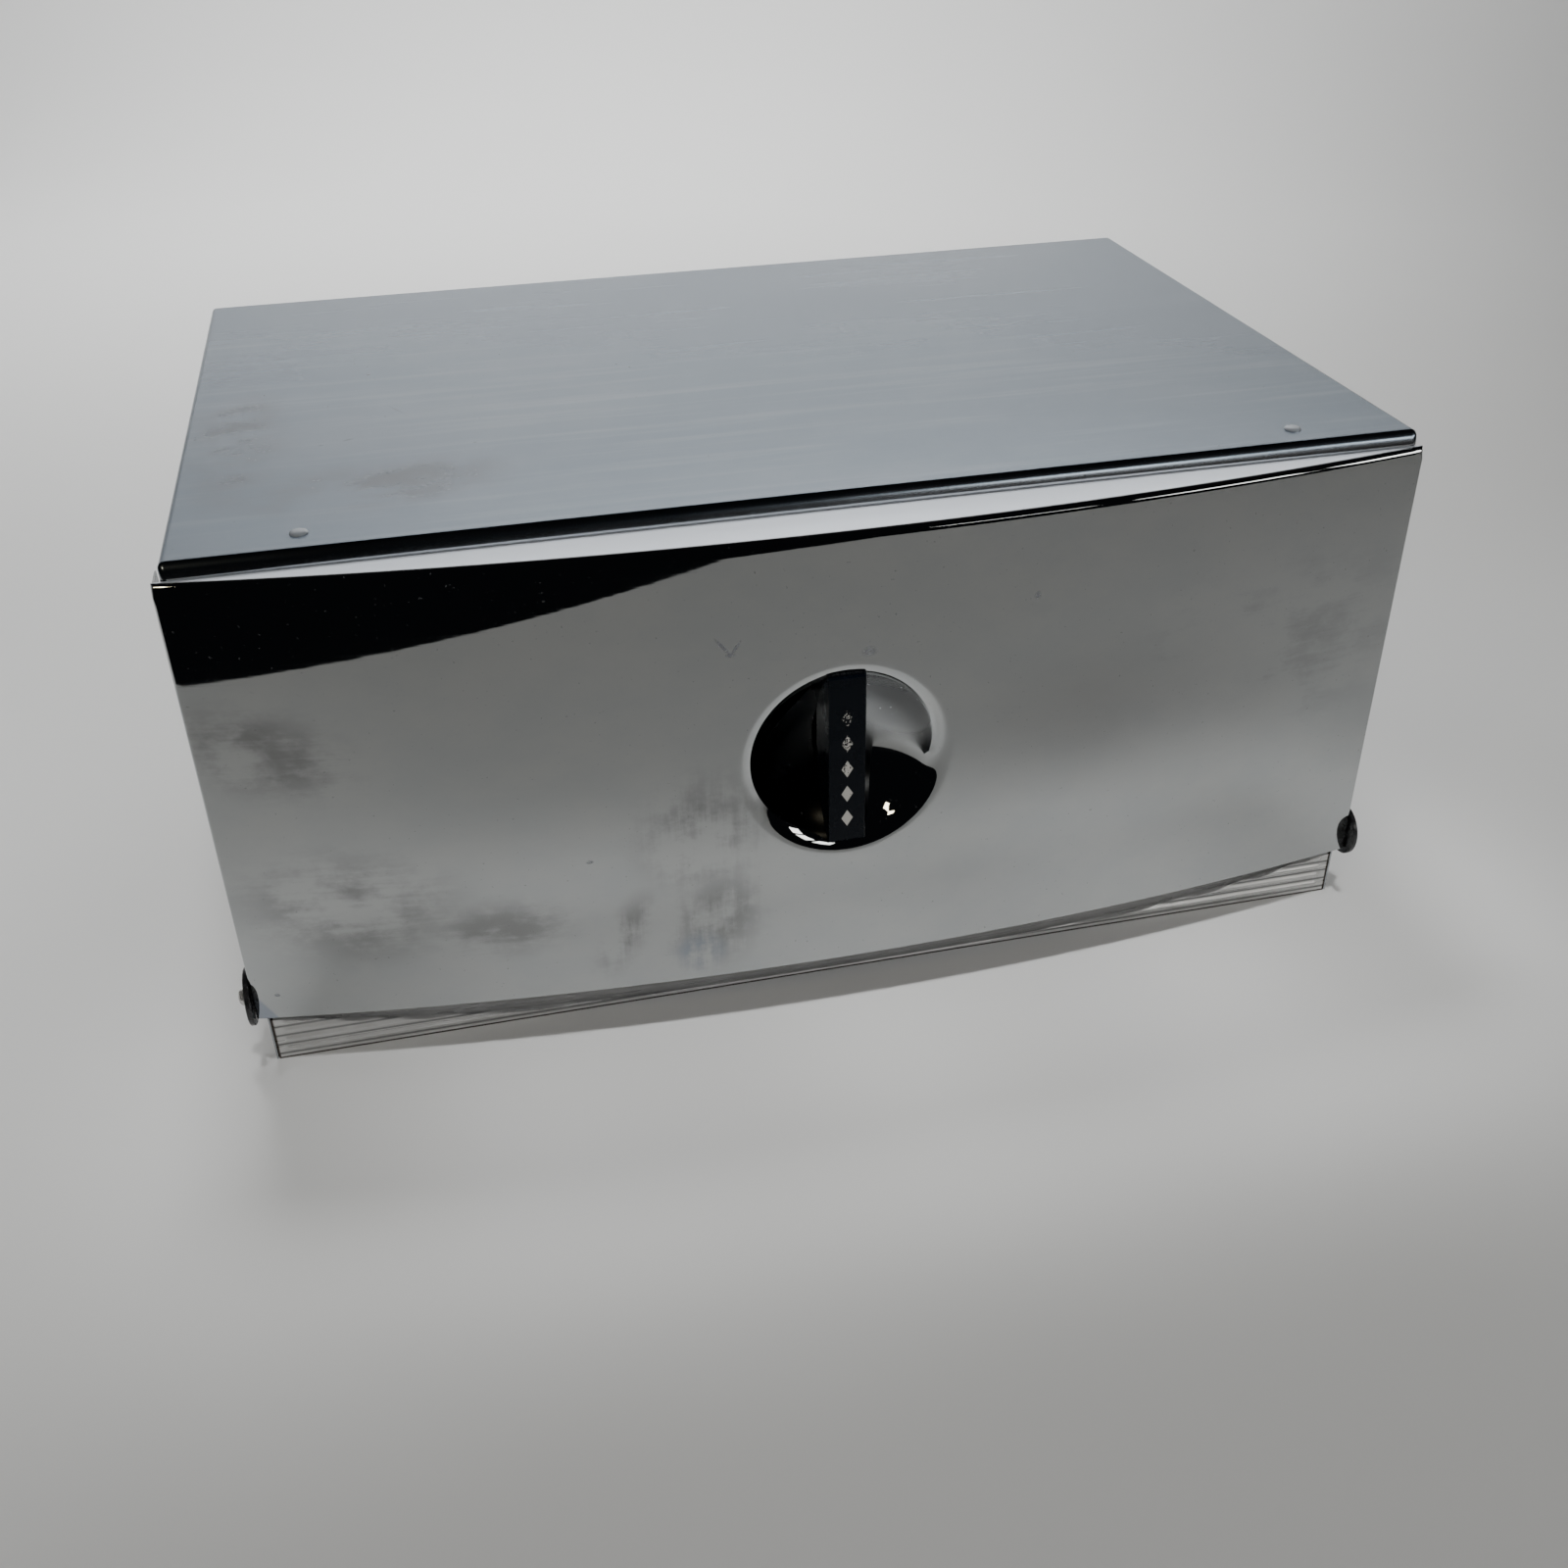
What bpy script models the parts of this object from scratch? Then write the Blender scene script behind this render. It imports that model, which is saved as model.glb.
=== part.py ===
"""Bread box: a folded sheet-steel case on a ribbed plinth, with a bow-fronted door that drops forward.

Metres, +Z up, the front faces -Y.  The origin is under the middle of the box, on the surface it stands on.
"""
import math

import bmesh
import bpy
from mathutils import Matrix, Vector

# ---- driving dimensions -------------------------------------------------------------------------
BODY_WIDTH = 0.4064          # outside of the case sides
BODY_DEPTH = 0.2623          # front edge of the sides to the back
BODY_HEIGHT = 0.1918
SHEET = 0.0006               # steel sheet
FIT_GAP = 0.0003             # left between pieces that rest on each other
RETURN_WIDTH = 0.008         # stiffening folds of the case

CASE_BEND = 0.0022           # outside radius of the folded case edges
LIP_REACH = 0.0020           # the top's front lip stands this far ahead of the sides
LIP_DROP = 0.0048            # height of the lip
LIP_HEM = 0.0013             # folded double

DOOR_BOW = 0.0170            # rise of the curved front over its width
DOOR_STAND_OFF = 0.0022      # door face ahead of the case sides, at the door's ends
DOOR_SIDE_GAP = 0.0024       # case side to door flange
DOOR_TOP_GAP = 0.0008        # lip to door
OPEN_CLEARANCE = 0.0050      # surface to the door's face when the door lies open
DOOR_FLANGE_BACK = 0.012     # how far the flanges reach behind the case's front edge
DOOR_BEND = 0.0028           # outside radius of the door's folded edges
DOOR_FOOT_FOLD = 0.003       # fold along the door's lower edge

PIVOT_BACK = 0.0031          # pivot behind the case's front edge
PIVOT_RISE = 0.0062          # pivot above the door's lower edge
SWEEP_CLEARANCE = 0.0008     # kept round the path of the door's lower edge

DISH_RADIUS = 0.0345
DISH_DEPTH = 0.0190
DISH_LIP = 0.0022            # rounding of the dish's rim

HANDLE_WIDTH = 0.0128
HANDLE_DEPTH = 0.0080
HANDLE_END_CHAMFER = 0.0020
HANDLE_FOOT = 0.0064         # side of the two square feet
HANDLE_SCREW_SPACING = 0.044
HANDLE_FRONT_WALL = 0.0030   # plastic left in front of the screw holes
HANDLE_SCREW_RADIUS = 0.0013
HANDLE_SCREW_HEAD = 0.0026

FLOOR_STEP = 0.0014          # bread stands this far above the door's lower edge
FLOOR_SKIRT_DROP = 0.010     # fold at the floor's sides and back
FLOOR_UNDERSIDE = 0.0010     # gap under the riser

RIB_PITCH = 0.0040
RIB_WIDTH = 0.0026
RIB_HEIGHT = 0.0008
FIRST_RIB = 0.0042

PIVOT_SCREW_RADIUS = 0.00175
PIVOT_HEAD_RADIUS = 0.0029
PIVOT_HEAD_HEIGHT = 0.0018
SPACER_RADIUS = 0.0031
DISC_RADIUS = 0.0103
DISC_THICKNESS = 0.0018
WASHER_RADIUS = 0.0040
WASHER_THICKNESS = 0.0007
NUT_RADIUS = 0.0036
NUT_THICKNESS = 0.0029
SCREW_TAIL = 0.0008          # thread showing past the nut
SLOT_WIDTH = 0.0008

RIVET_INSET = 0.0402         # from the case side
RIVET_BACK = 0.0110          # behind the front edge
RIVET_HEAD_RADIUS = 0.0028
RIVET_HEAD_HEIGHT = 0.0013
RIVET_SHANK = 0.0013
RIVET_TAIL_RADIUS = 0.0022
RIVET_TAIL_HEIGHT = 0.0010
CATCH_WIDTH = 0.012
CATCH_SHEET = 0.0005
CATCH_BACK = 0.0065          # leaf behind the rivet
CATCH_FRONT = 0.0045         # flat part in front of the rivet
CATCH_LIFT = 0.0005          # bump above the door's top flange

VENT_COUNT = 7
VENT_RADIUS = 0.0025
VENT_PITCH = 0.020
VENT_DROP = 0.030            # below the top

# ---- places worked out from them ----------------------------------------------------------------
HALF_WIDTH = BODY_WIDTH / 2
INSIDE_HALF = HALF_WIDTH - SHEET
FITTED_HALF = INSIDE_HALF - FIT_GAP
DOOR_REACH = DOOR_STAND_OFF + DOOR_BOW
FRONT_Y = (DOOR_REACH - BODY_DEPTH) / 2
BACK_Y = FRONT_Y + BODY_DEPTH
LIP_Y = FRONT_Y - LIP_REACH
LIP_Z = BODY_HEIGHT - LIP_DROP
UNDER_TOP = BODY_HEIGHT - SHEET

DOOR_HALF = HALF_WIDTH + DOOR_SIDE_GAP + SHEET
DOOR_TOP = LIP_Z - DOOR_TOP_GAP
DOOR_END_Y = FRONT_Y - DOOR_STAND_OFF
DOOR_FACE_Y = DOOR_END_Y - DOOR_BOW
DOOR_REAR_Y = FRONT_Y + DOOR_FLANGE_BACK
BOW_RADIUS = (DOOR_HALF ** 2 + DOOR_BOW ** 2) / (2 * DOOR_BOW)

PIVOT_Y = FRONT_Y + PIVOT_BACK
PIVOT_Z = OPEN_CLEARANCE + DOOR_REACH + PIVOT_BACK
DOOR_BOTTOM = PIVOT_Z - PIVOT_RISE
DISH_CENTRE = (DOOR_BOTTOM + DOOR_TOP) / 2
FLOOR_HEIGHT = DOOR_BOTTOM + FLOOR_STEP
RIB_COUNT = 1 + int((DOOR_BOTTOM - FIRST_RIB - RIB_WIDTH / 2) / RIB_PITCH)
PIVOT_BORE = PIVOT_SCREW_RADIUS + FIT_GAP
RISER_Y = PIVOT_Y + PIVOT_RISE + SWEEP_CLEARANCE

BOWL_RADIUS = (DISH_RADIUS ** 2 + DISH_DEPTH ** 2) / (2 * DISH_DEPTH)
BOWL_AHEAD = BOWL_RADIUS - DISH_DEPTH      # bowl's centre in front of the door's face
HANDLE_BORE = HANDLE_SCREW_RADIUS + FIT_GAP
RIVET_OFFSET = HALF_WIDTH - RIVET_INSET
RIVET_BORE = RIVET_SHANK + FIT_GAP

DOOR_STATIONS = 32           # straight steps along the bow
TURN_STEPS = 48              # round pieces
SMALL_TURN_STEPS = 24


def clear_scene():
    """Start from an empty scene."""
    for thing in list(bpy.data.objects):
        bpy.data.objects.remove(thing, do_unlink=True)


# ---- small shop of helpers ----------------------------------------------------------------------
def finish(name, colour, metallic, roughness):
    """One Principled material."""
    material = bpy.data.materials.new(name)
    material.use_nodes = True
    shader = material.node_tree.nodes["Principled BSDF"]
    shader.inputs["Base Color"].default_value = (*colour, 1.0)
    shader.inputs["Metallic"].default_value = metallic
    shader.inputs["Roughness"].default_value = roughness
    material.diffuse_color = (*colour, 1.0)
    return material


def piece(name, bm, material, at=(0.0, 0.0, 0.0), smooth_angle=30.0):
    """Turn a bmesh into a named object standing at a point; the bmesh is in the box's own frame."""
    bmesh.ops.translate(bm, verts=bm.verts, vec=-Vector(at))
    bmesh.ops.recalc_face_normals(bm, faces=bm.faces)
    mesh = bpy.data.meshes.new(name)
    bm.to_mesh(mesh)
    bm.free()
    mesh.shade_smooth()
    mesh.set_sharp_from_angle(angle=math.radians(smooth_angle))
    mesh.materials.append(material)
    made = bpy.data.objects.new(name, mesh)
    made.location = at
    bpy.context.scene.collection.objects.link(made)
    return made


def tool(name, bm):
    """A shape that only cuts or joins; it is not a piece of the box."""
    made = piece(name, bm, TOOL_FINISH)
    made.display_type = "WIRE"
    made.hide_render = True
    return made


def combine(target, operation, other):
    """Add an exact Boolean to a piece."""
    modifier = target.modifiers.new(operation.lower(), "BOOLEAN")
    modifier.operation = operation
    modifier.solver = "EXACT"
    modifier.object = other


def cut(target, bm):
    """Cut a shape away."""
    combine(target, "DIFFERENCE", tool(target.name + "_cut", bm))


def weld(target, bm):
    """Join a shape on."""
    combine(target, "UNION", tool(target.name + "_add", bm))


def block(low, high):
    """A box between two corners."""
    bm = bmesh.new()
    bmesh.ops.create_cube(bm, size=1.0)
    size = [h - l for l, h in zip(low, high)]
    middle = [(h + l) / 2 for l, h in zip(low, high)]
    bmesh.ops.scale(bm, verts=bm.verts, vec=size)
    bmesh.ops.translate(bm, verts=bm.verts, vec=middle)
    return bm


def rod(radius, start, end, steps=SMALL_TURN_STEPS):
    """A round bar between two points."""
    axis = Vector(end) - Vector(start)
    turn = axis.to_track_quat("Z", "Y").to_matrix().to_4x4()
    place = Matrix.Translation((Vector(start) + Vector(end)) / 2) @ turn
    bm = bmesh.new()
    bmesh.ops.create_cone(bm, cap_ends=True, segments=steps, radius1=radius, radius2=radius,
                          depth=axis.length, matrix=place)
    return bm


def turned(profile, centre, axis, steps=SMALL_TURN_STEPS):
    """Spin a closed outline of (radius, distance along the axis) points about an axis."""
    axis = Vector(axis).normalized()
    side = axis.orthogonal().normalized()
    bm = bmesh.new()
    ring = [bm.verts.new(Vector(centre) + side * radius + axis * along) for radius, along in profile]
    edges = [bm.edges.new((ring[i], ring[(i + 1) % len(ring)])) for i in range(len(ring))]
    on_axis = [edge for edge in edges
               if all(abs((v.co - Vector(centre)).dot(side)) < 1e-9 for v in edge.verts)]
    bmesh.ops.delete(bm, geom=on_axis, context="EDGES")
    bmesh.ops.spin(bm, geom=bm.verts[:] + bm.edges[:], cent=centre, axis=axis, angle=math.tau,
                   steps=steps, use_merge=True, use_duplicate=False)
    bmesh.ops.remove_doubles(bm, verts=bm.verts, dist=1e-6)
    return bm


def extruded(outline, direction):
    """Push a flat closed outline along a direction."""
    bm = bmesh.new()
    face = bm.faces.new([bm.verts.new(point) for point in outline])
    grown = bmesh.ops.extrude_face_region(bm, geom=[face])
    moved = [item for item in grown["geom"] if isinstance(item, bmesh.types.BMVert)]
    bmesh.ops.translate(bm, verts=moved, vec=direction)
    return bm


def round_edges(bm, chosen, radius, steps):
    """Round the edges that a test picks."""
    edges = [edge for edge in bm.edges if chosen(edge)]
    bmesh.ops.bevel(bm, geom=edges, offset=radius, segments=steps, affect="EDGES", profile=0.5,
                    material=-1)
    return bm


def quadratic(start, control, end, steps):
    """Points along a curve that leaves start and meets end tangent to the control point."""
    points = []
    for i in range(steps + 1):
        t = i / steps
        points.append(tuple((1 - t) ** 2 * a + 2 * t * (1 - t) * b + t * t * c
                            for a, b, c in zip(start, control, end)))
    return points


def bow_y(x, inset=0.0):
    """Y of the door's curved front at x, or of a surface inset behind it."""
    radius = BOW_RADIUS - inset
    return DOOR_FACE_Y + BOW_RADIUS - math.sqrt(radius ** 2 - x ** 2)


def stations(half):
    """Evenly spaced x places from one end of the bow to the other."""
    return [half * (2 * i / DOOR_STATIONS - 1) for i in range(DOOR_STATIONS + 1)]


# ---- the case -----------------------------------------------------------------------------------
def case_block(low, high, radius):
    """A block with its two long top edges, its top front edge and its front corners rounded."""
    bm = block(low, high)

    def chosen(edge):
        a, b = (vert.co for vert in edge.verts)
        along = (a - b).normalized()
        middle = (a + b) / 2
        at_top = abs(middle.z - high[2]) < 1e-6
        at_front = abs(middle.y - low[1]) < 1e-6
        return (at_top and abs(along.y) > 0.9) or (at_front and at_top) or (at_front and abs(along.z) > 0.9)

    return round_edges(bm, chosen, radius, 4)


def make_body_shell(material):
    """Top and both sides, folded from one sheet, with a hemmed lip over the door."""
    outer = case_block((-HALF_WIDTH, LIP_Y, 0.0), (HALF_WIDTH, BACK_Y, BODY_HEIGHT), CASE_BEND)
    shell = piece("body_shell", outer, material)
    inner_bend = CASE_BEND - SHEET
    cut(shell, case_block((-INSIDE_HALF, LIP_Y + LIP_HEM, -0.01), (INSIDE_HALF, BACK_Y + 0.01, UNDER_TOP),
                          inner_bend))
    cut(shell, block((-HALF_WIDTH - 0.01, LIP_Y - 0.01, -0.01), (HALF_WIDTH + 0.01, FRONT_Y, LIP_Z)))
    cut(shell, block((-INSIDE_HALF, LIP_Y - 0.01, -0.01), (INSIDE_HALF, FRONT_Y + 2 * CASE_BEND, LIP_Z)))
    for side in (-1, 1):
        wall, fold = sorted((side * (HALF_WIDTH - SHEET / 2), side * (HALF_WIDTH - RETURN_WIDTH)))
        weld(shell, block((wall, FRONT_Y, PIVOT_Z + NUT_RADIUS + SHEET),
                          (fold, FRONT_Y + SHEET, DOOR_TOP - PIVOT_BACK)))
        weld(shell, block((wall, FRONT_Y + RETURN_WIDTH + SHEET, 0.0),
                          (fold, BACK_Y - RETURN_WIDTH - SHEET, SHEET)))
    reach = math.hypot(bow_y(HALF_WIDTH) - PIVOT_Y, PIVOT_RISE) + SWEEP_CLEARANCE
    for side in (-1, 1):
        inside = side * (HALF_WIDTH - 2 * SHEET)
        outside = side * (HALF_WIDTH + SHEET)
        notch = rod(reach, (inside, PIVOT_Y, PIVOT_Z), (outside, PIVOT_Y, PIVOT_Z), TURN_STEPS)
        level = PIVOT_Z - PIVOT_BACK
        ends = bmesh.ops.bisect_plane(notch, geom=notch.verts[:] + notch.edges[:] + notch.faces[:],
                                      plane_co=(0, 0, level), plane_no=(0, 0, 1), clear_outer=True)
        rim = [item for item in ends["geom_cut"] if isinstance(item, bmesh.types.BMEdge)]
        bmesh.ops.contextual_create(notch, geom=rim)
        cut(shell, notch)
        cut(shell, rod(PIVOT_BORE, (inside, PIVOT_Y, PIVOT_Z), (outside, PIVOT_Y, PIVOT_Z)))
        rivet_x = side * RIVET_OFFSET
        rivet_y = FRONT_Y + RIVET_BACK
        cut(shell, rod(RIVET_BORE, (rivet_x, rivet_y, UNDER_TOP - SHEET), (rivet_x, rivet_y, BODY_HEIGHT + SHEET)))
    return shell


def arched_block(low, high, radius):
    """A block with its two upper edges that run front to back rounded."""
    bm = block(low, high)

    def chosen(edge):
        a, b = (vert.co for vert in edge.verts)
        return min(a.z, b.z) > high[2] - 1e-6 and abs(a.x - b.x) < 1e-6

    return round_edges(bm, chosen, radius, 4)


def make_back_panel(material):
    """Flanged plate that closes the back, with a row of air holes."""
    top = UNDER_TOP - FIT_GAP
    flange_y = BACK_Y - RETURN_WIDTH
    panel = piece("back_panel", arched_block((-FITTED_HALF, flange_y, 0.0), (FITTED_HALF, BACK_Y, top),
                                             CASE_BEND - SHEET), material)
    cut(panel, arched_block((-FITTED_HALF + SHEET, flange_y - 0.01, SHEET),
                            (FITTED_HALF - SHEET, BACK_Y - SHEET, top - SHEET), CASE_BEND - 2 * SHEET))
    cut(panel, block((-HALF_WIDTH, flange_y - 0.01, SHEET),
                     (HALF_WIDTH, BACK_Y - SHEET, FLOOR_HEIGHT + FIT_GAP)))
    for i in range(VENT_COUNT):
        x = (i - (VENT_COUNT - 1) / 2) * VENT_PITCH
        z = BODY_HEIGHT - VENT_DROP
        cut(panel, rod(VENT_RADIUS, (x, BACK_Y - 2 * SHEET, z), (x, BACK_Y + SHEET, z), 16))
    return panel


def make_floor_pan(material):
    """Raised floor, folded down at the sides and back, and down to the base in front as a riser."""
    back = BACK_Y - SHEET - FIT_GAP
    floor = piece("floor_pan", block((-FITTED_HALF, RISER_Y, FLOOR_UNDERSIDE),
                                     (FITTED_HALF, back, FLOOR_HEIGHT)), material)
    cut(floor, block((-FITTED_HALF + SHEET, RISER_Y + SHEET, -0.01),
                     (FITTED_HALF - SHEET, back - SHEET, FLOOR_HEIGHT - SHEET)))
    skirt = FLOOR_HEIGHT - FLOOR_SKIRT_DROP
    cut(floor, block((-HALF_WIDTH, RISER_Y + SHEET, -0.01), (HALF_WIDTH, BACK_Y, skirt)))
    return floor


def sill_outline():
    """Section of the ribbed front strip in Y and Z, with a fold under it."""
    front = [(FRONT_Y, 0.0)]
    for i in range(RIB_COUNT):
        middle = FIRST_RIB + i * RIB_PITCH
        for step in range(7):
            angle = math.pi * step / 6
            front.append((FRONT_Y - RIB_HEIGHT * math.sin(angle), middle - RIB_WIDTH / 2 * math.cos(angle)))
    top = DOOR_BOTTOM
    front.append((FRONT_Y, top))
    behind = [(y + SHEET, z) for y, z in reversed(front[1:])]
    behind.append((FRONT_Y + SHEET, SHEET))
    fold = [(FRONT_Y + RETURN_WIDTH, SHEET), (FRONT_Y + RETURN_WIDTH, 0.0)]
    return front + behind + fold


def sill_top(x):
    """Height of the sill that the door's lower edge passes over as it swings."""
    reach = math.hypot(bow_y(x) - PIVOT_Y, PIVOT_RISE)
    nearest = min(reach, PIVOT_BACK)
    return PIVOT_Z - math.sqrt(reach ** 2 - (PIVOT_BACK - nearest) ** 2) - SWEEP_CLEARANCE


def make_front_sill(material):
    """Ribbed plinth strip; its top is scooped where the bowed door swings down over it."""
    outline = [(-FITTED_HALF, y, z) for y, z in sill_outline()]
    sill = piece("front_sill", extruded(outline, (2 * FITTED_HALF, 0, 0)), material)
    ahead = FRONT_Y - 0.01
    scoop = [(x, ahead, sill_top(x)) for x in stations(HALF_WIDTH)]
    scoop += [(HALF_WIDTH, ahead, 0.05), (-HALF_WIDTH, ahead, 0.05)]
    cut(sill, extruded(scoop, (0, 0.03, 0)))
    return sill


# ---- catches that hold the door shut ------------------------------------------------------------
def make_catch(name, x, material):
    """Spring leaf riveted under the top; its bump bears on the door's top flange."""
    rivet_y = FRONT_Y + RIVET_BACK
    flat_top = UNDER_TOP - FIT_GAP
    bump = DOOR_TOP + CATCH_LIFT
    front = rivet_y - CATCH_FRONT
    spine = [(rivet_y + CATCH_BACK, flat_top), (front, flat_top), (front - 0.0024, bump + 0.0010),
             (front - 0.0032, bump + CATCH_SHEET), (front - 0.0040, bump + 0.0010), (front - 0.0046, bump + 0.0018)]
    lower = [(y, z - CATCH_SHEET) for y, z in reversed(spine)]
    outline = [(x - CATCH_WIDTH / 2, y, z) for y, z in spine + lower]
    leaf = piece(name, extruded(outline, (CATCH_WIDTH, 0, 0)), material)
    cut(leaf, rod(RIVET_BORE, (x, rivet_y, flat_top - 2 * CATCH_SHEET), (x, rivet_y, flat_top + FIT_GAP)))
    return leaf


def dome(radius, height, base, steps=5):
    """Outline points of a domed head, from its rim up to the axis."""
    return [(radius * math.cos(math.pi / 2 * i / steps), base + height * math.sin(math.pi / 2 * i / steps))
            for i in range(steps + 1)]


def make_catch_rivet(name, x, material):
    """Round-head rivet through the top and the catch leaf."""
    under_leaf = UNDER_TOP - CATCH_SHEET - 2 * FIT_GAP
    head = BODY_HEIGHT + FIT_GAP
    outline = [(0.0, under_leaf - RIVET_TAIL_HEIGHT), (RIVET_TAIL_RADIUS * 0.7, under_leaf - RIVET_TAIL_HEIGHT),
               (RIVET_TAIL_RADIUS, under_leaf), (RIVET_SHANK, under_leaf), (RIVET_SHANK, head)]
    outline += dome(RIVET_HEAD_RADIUS, RIVET_HEAD_HEIGHT, head)
    outline[-1] = (0.0, head + RIVET_HEAD_HEIGHT)
    return piece(name, turned(outline, (x, FRONT_Y + RIVET_BACK, 0.0), (0, 0, 1)), material)


# ---- the pivots ---------------------------------------------------------------------------------
def ring(inner, outer, start, end, edge=0.0):
    """Outline of a flat ring, its outer rim eased by an edge width."""
    return [(inner, start), (outer - edge, start), (outer, start + edge), (outer, end - edge),
            (outer - edge, end), (inner, end)] if edge else [(inner, start), (outer, start), (outer, end), (inner, end)]


def pivot_stack():
    """Distances from the middle plane of what the pivot screw carries, from the case side outwards."""
    places = {}
    at = HALF_WIDTH + FIT_GAP
    places["spacer"] = (at, at + DOOR_SIDE_GAP - 2 * FIT_GAP)
    at = DOOR_HALF + FIT_GAP
    places["disc"] = (at, at + DISC_THICKNESS)
    at += DISC_THICKNESS + FIT_GAP
    places["washer"] = (at, at + WASHER_THICKNESS)
    at += WASHER_THICKNESS + FIT_GAP
    places["head"] = (at, at + PIVOT_HEAD_HEIGHT)
    places["nut"] = (INSIDE_HALF - FIT_GAP - NUT_THICKNESS, INSIDE_HALF - FIT_GAP)
    return places


def make_pivot(side, word, finishes):
    """Screw, washer, black disc, spacer and nut of one door pivot."""
    centre = (0.0, PIVOT_Y, PIVOT_Z)
    axis = (side, 0, 0)
    stack = pivot_stack()
    piece("pivot_disc_" + word, turned(ring(PIVOT_BORE, DISC_RADIUS, *stack["disc"], edge=0.0003), centre, axis,
                                       TURN_STEPS), finishes["black_fibre"])
    piece("pivot_washer_" + word, turned(ring(PIVOT_BORE, WASHER_RADIUS, *stack["washer"]), centre, axis),
          finishes["steel"])
    piece("pivot_spacer_" + word, turned(ring(PIVOT_BORE, SPACER_RADIUS, *stack["spacer"]), centre, axis),
          finishes["steel"])
    base, top = stack["head"]
    outline = [(0.0, stack["nut"][0] - SCREW_TAIL), (PIVOT_SCREW_RADIUS, stack["nut"][0] - SCREW_TAIL),
               (PIVOT_SCREW_RADIUS, base), (PIVOT_HEAD_RADIUS, base), (PIVOT_HEAD_RADIUS, base + 0.0007)]
    outline += dome(PIVOT_HEAD_RADIUS - 0.0002, top - base - 0.0007, base + 0.0007)
    outline[-1] = (0.0, top)
    screw = piece("pivot_screw_" + word, turned(outline, centre, axis), finishes["steel"])
    slot_low, slot_high = sorted((side * (top - SLOT_WIDTH), side * (top + SLOT_WIDTH)))
    cut(screw, block((slot_low, PIVOT_Y - SLOT_WIDTH / 2, PIVOT_Z - 0.005),
                     (slot_high, PIVOT_Y + SLOT_WIDTH / 2, PIVOT_Z + 0.005)))
    near, far = (side * value for value in stack["nut"])
    nut = piece("pivot_nut_" + word, rod(NUT_RADIUS, (near, PIVOT_Y, PIVOT_Z), (far, PIVOT_Y, PIVOT_Z), 6),
                finishes["steel"])
    cut(nut, rod(PIVOT_BORE, (near - side * SHEET, PIVOT_Y, PIVOT_Z), (far + side * SHEET, PIVOT_Y, PIVOT_Z)))


# ---- the door and its handle --------------------------------------------------------------------
def bowed_block(half, inset, rear, low, high, radius):
    """A block with the door's curved front, its front top edge and front corners rounded."""
    front = [(x, bow_y(x, inset), low) for x in stations(half)]
    outline = front + [(half, rear, low), (-half, rear, low)]
    bm = extruded(outline, (0, 0, high - low))

    def chosen(edge):
        a, b = (vert.co for vert in edge.verts)
        on_front = all(vert.co.y < rear - 1e-6 for vert in edge.verts)
        top_edge = abs(a.z - high) < 1e-6 and abs(b.z - high) < 1e-6
        corner = abs(a.z - b.z) > 1e-6 and abs(abs(a.x) - half) < 1e-6
        return on_front and (top_edge or corner)

    bmesh.ops.recalc_face_normals(bm, faces=bm.faces)
    return round_edges(bm, chosen, radius, 4) if radius else bm


def bowl_depth(radius, skin=0.0):
    """Depth behind the door's face of the dish's bowl, or of its back, at a distance from its middle."""
    return math.sqrt((BOWL_RADIUS + skin) ** 2 - radius ** 2) - BOWL_AHEAD


def bowl_outline(skin, ahead, steps=9):
    """Half section of the dish as (radius, depth): a rounded rim, then a spherical bowl down to the axis."""
    ball = BOWL_RADIUS + skin
    rim_angle = math.asin(math.sqrt(ball ** 2 - (BOWL_AHEAD + max(skin, 0.0)) ** 2) / ball)
    lip_angle = rim_angle - DISH_LIP / ball
    lip_start = (ball * math.sin(rim_angle) + DISH_LIP, max(skin, 0.0))
    lip_end = (ball * math.sin(lip_angle), ball * math.cos(lip_angle) - BOWL_AHEAD)
    corner = (ball * math.sin(rim_angle), max(skin, 0.0))
    points = [(0.0, -ahead), (lip_start[0], -ahead)] + quadratic(lip_start, corner, lip_end, 3)
    for i in range(1, steps + 1):
        angle = lip_angle * (1 - i / steps)
        points.append((ball * math.sin(angle), ball * math.cos(angle) - BOWL_AHEAD))
    points[-1] = (0.0, ball - BOWL_AHEAD)
    return points


def bowl_solid(skin, ahead):
    """The dish's hollow, or with a skin the outside of its cup, as a solid."""
    return turned(bowl_outline(skin, ahead), (0.0, DOOR_FACE_Y, DISH_CENTRE), (0, 1, 0), TURN_STEPS)


def screw_heights():
    """Heights of the two handle screws."""
    return [DISH_CENTRE - HANDLE_SCREW_SPACING / 2, DISH_CENTRE + HANDLE_SCREW_SPACING / 2]


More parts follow.
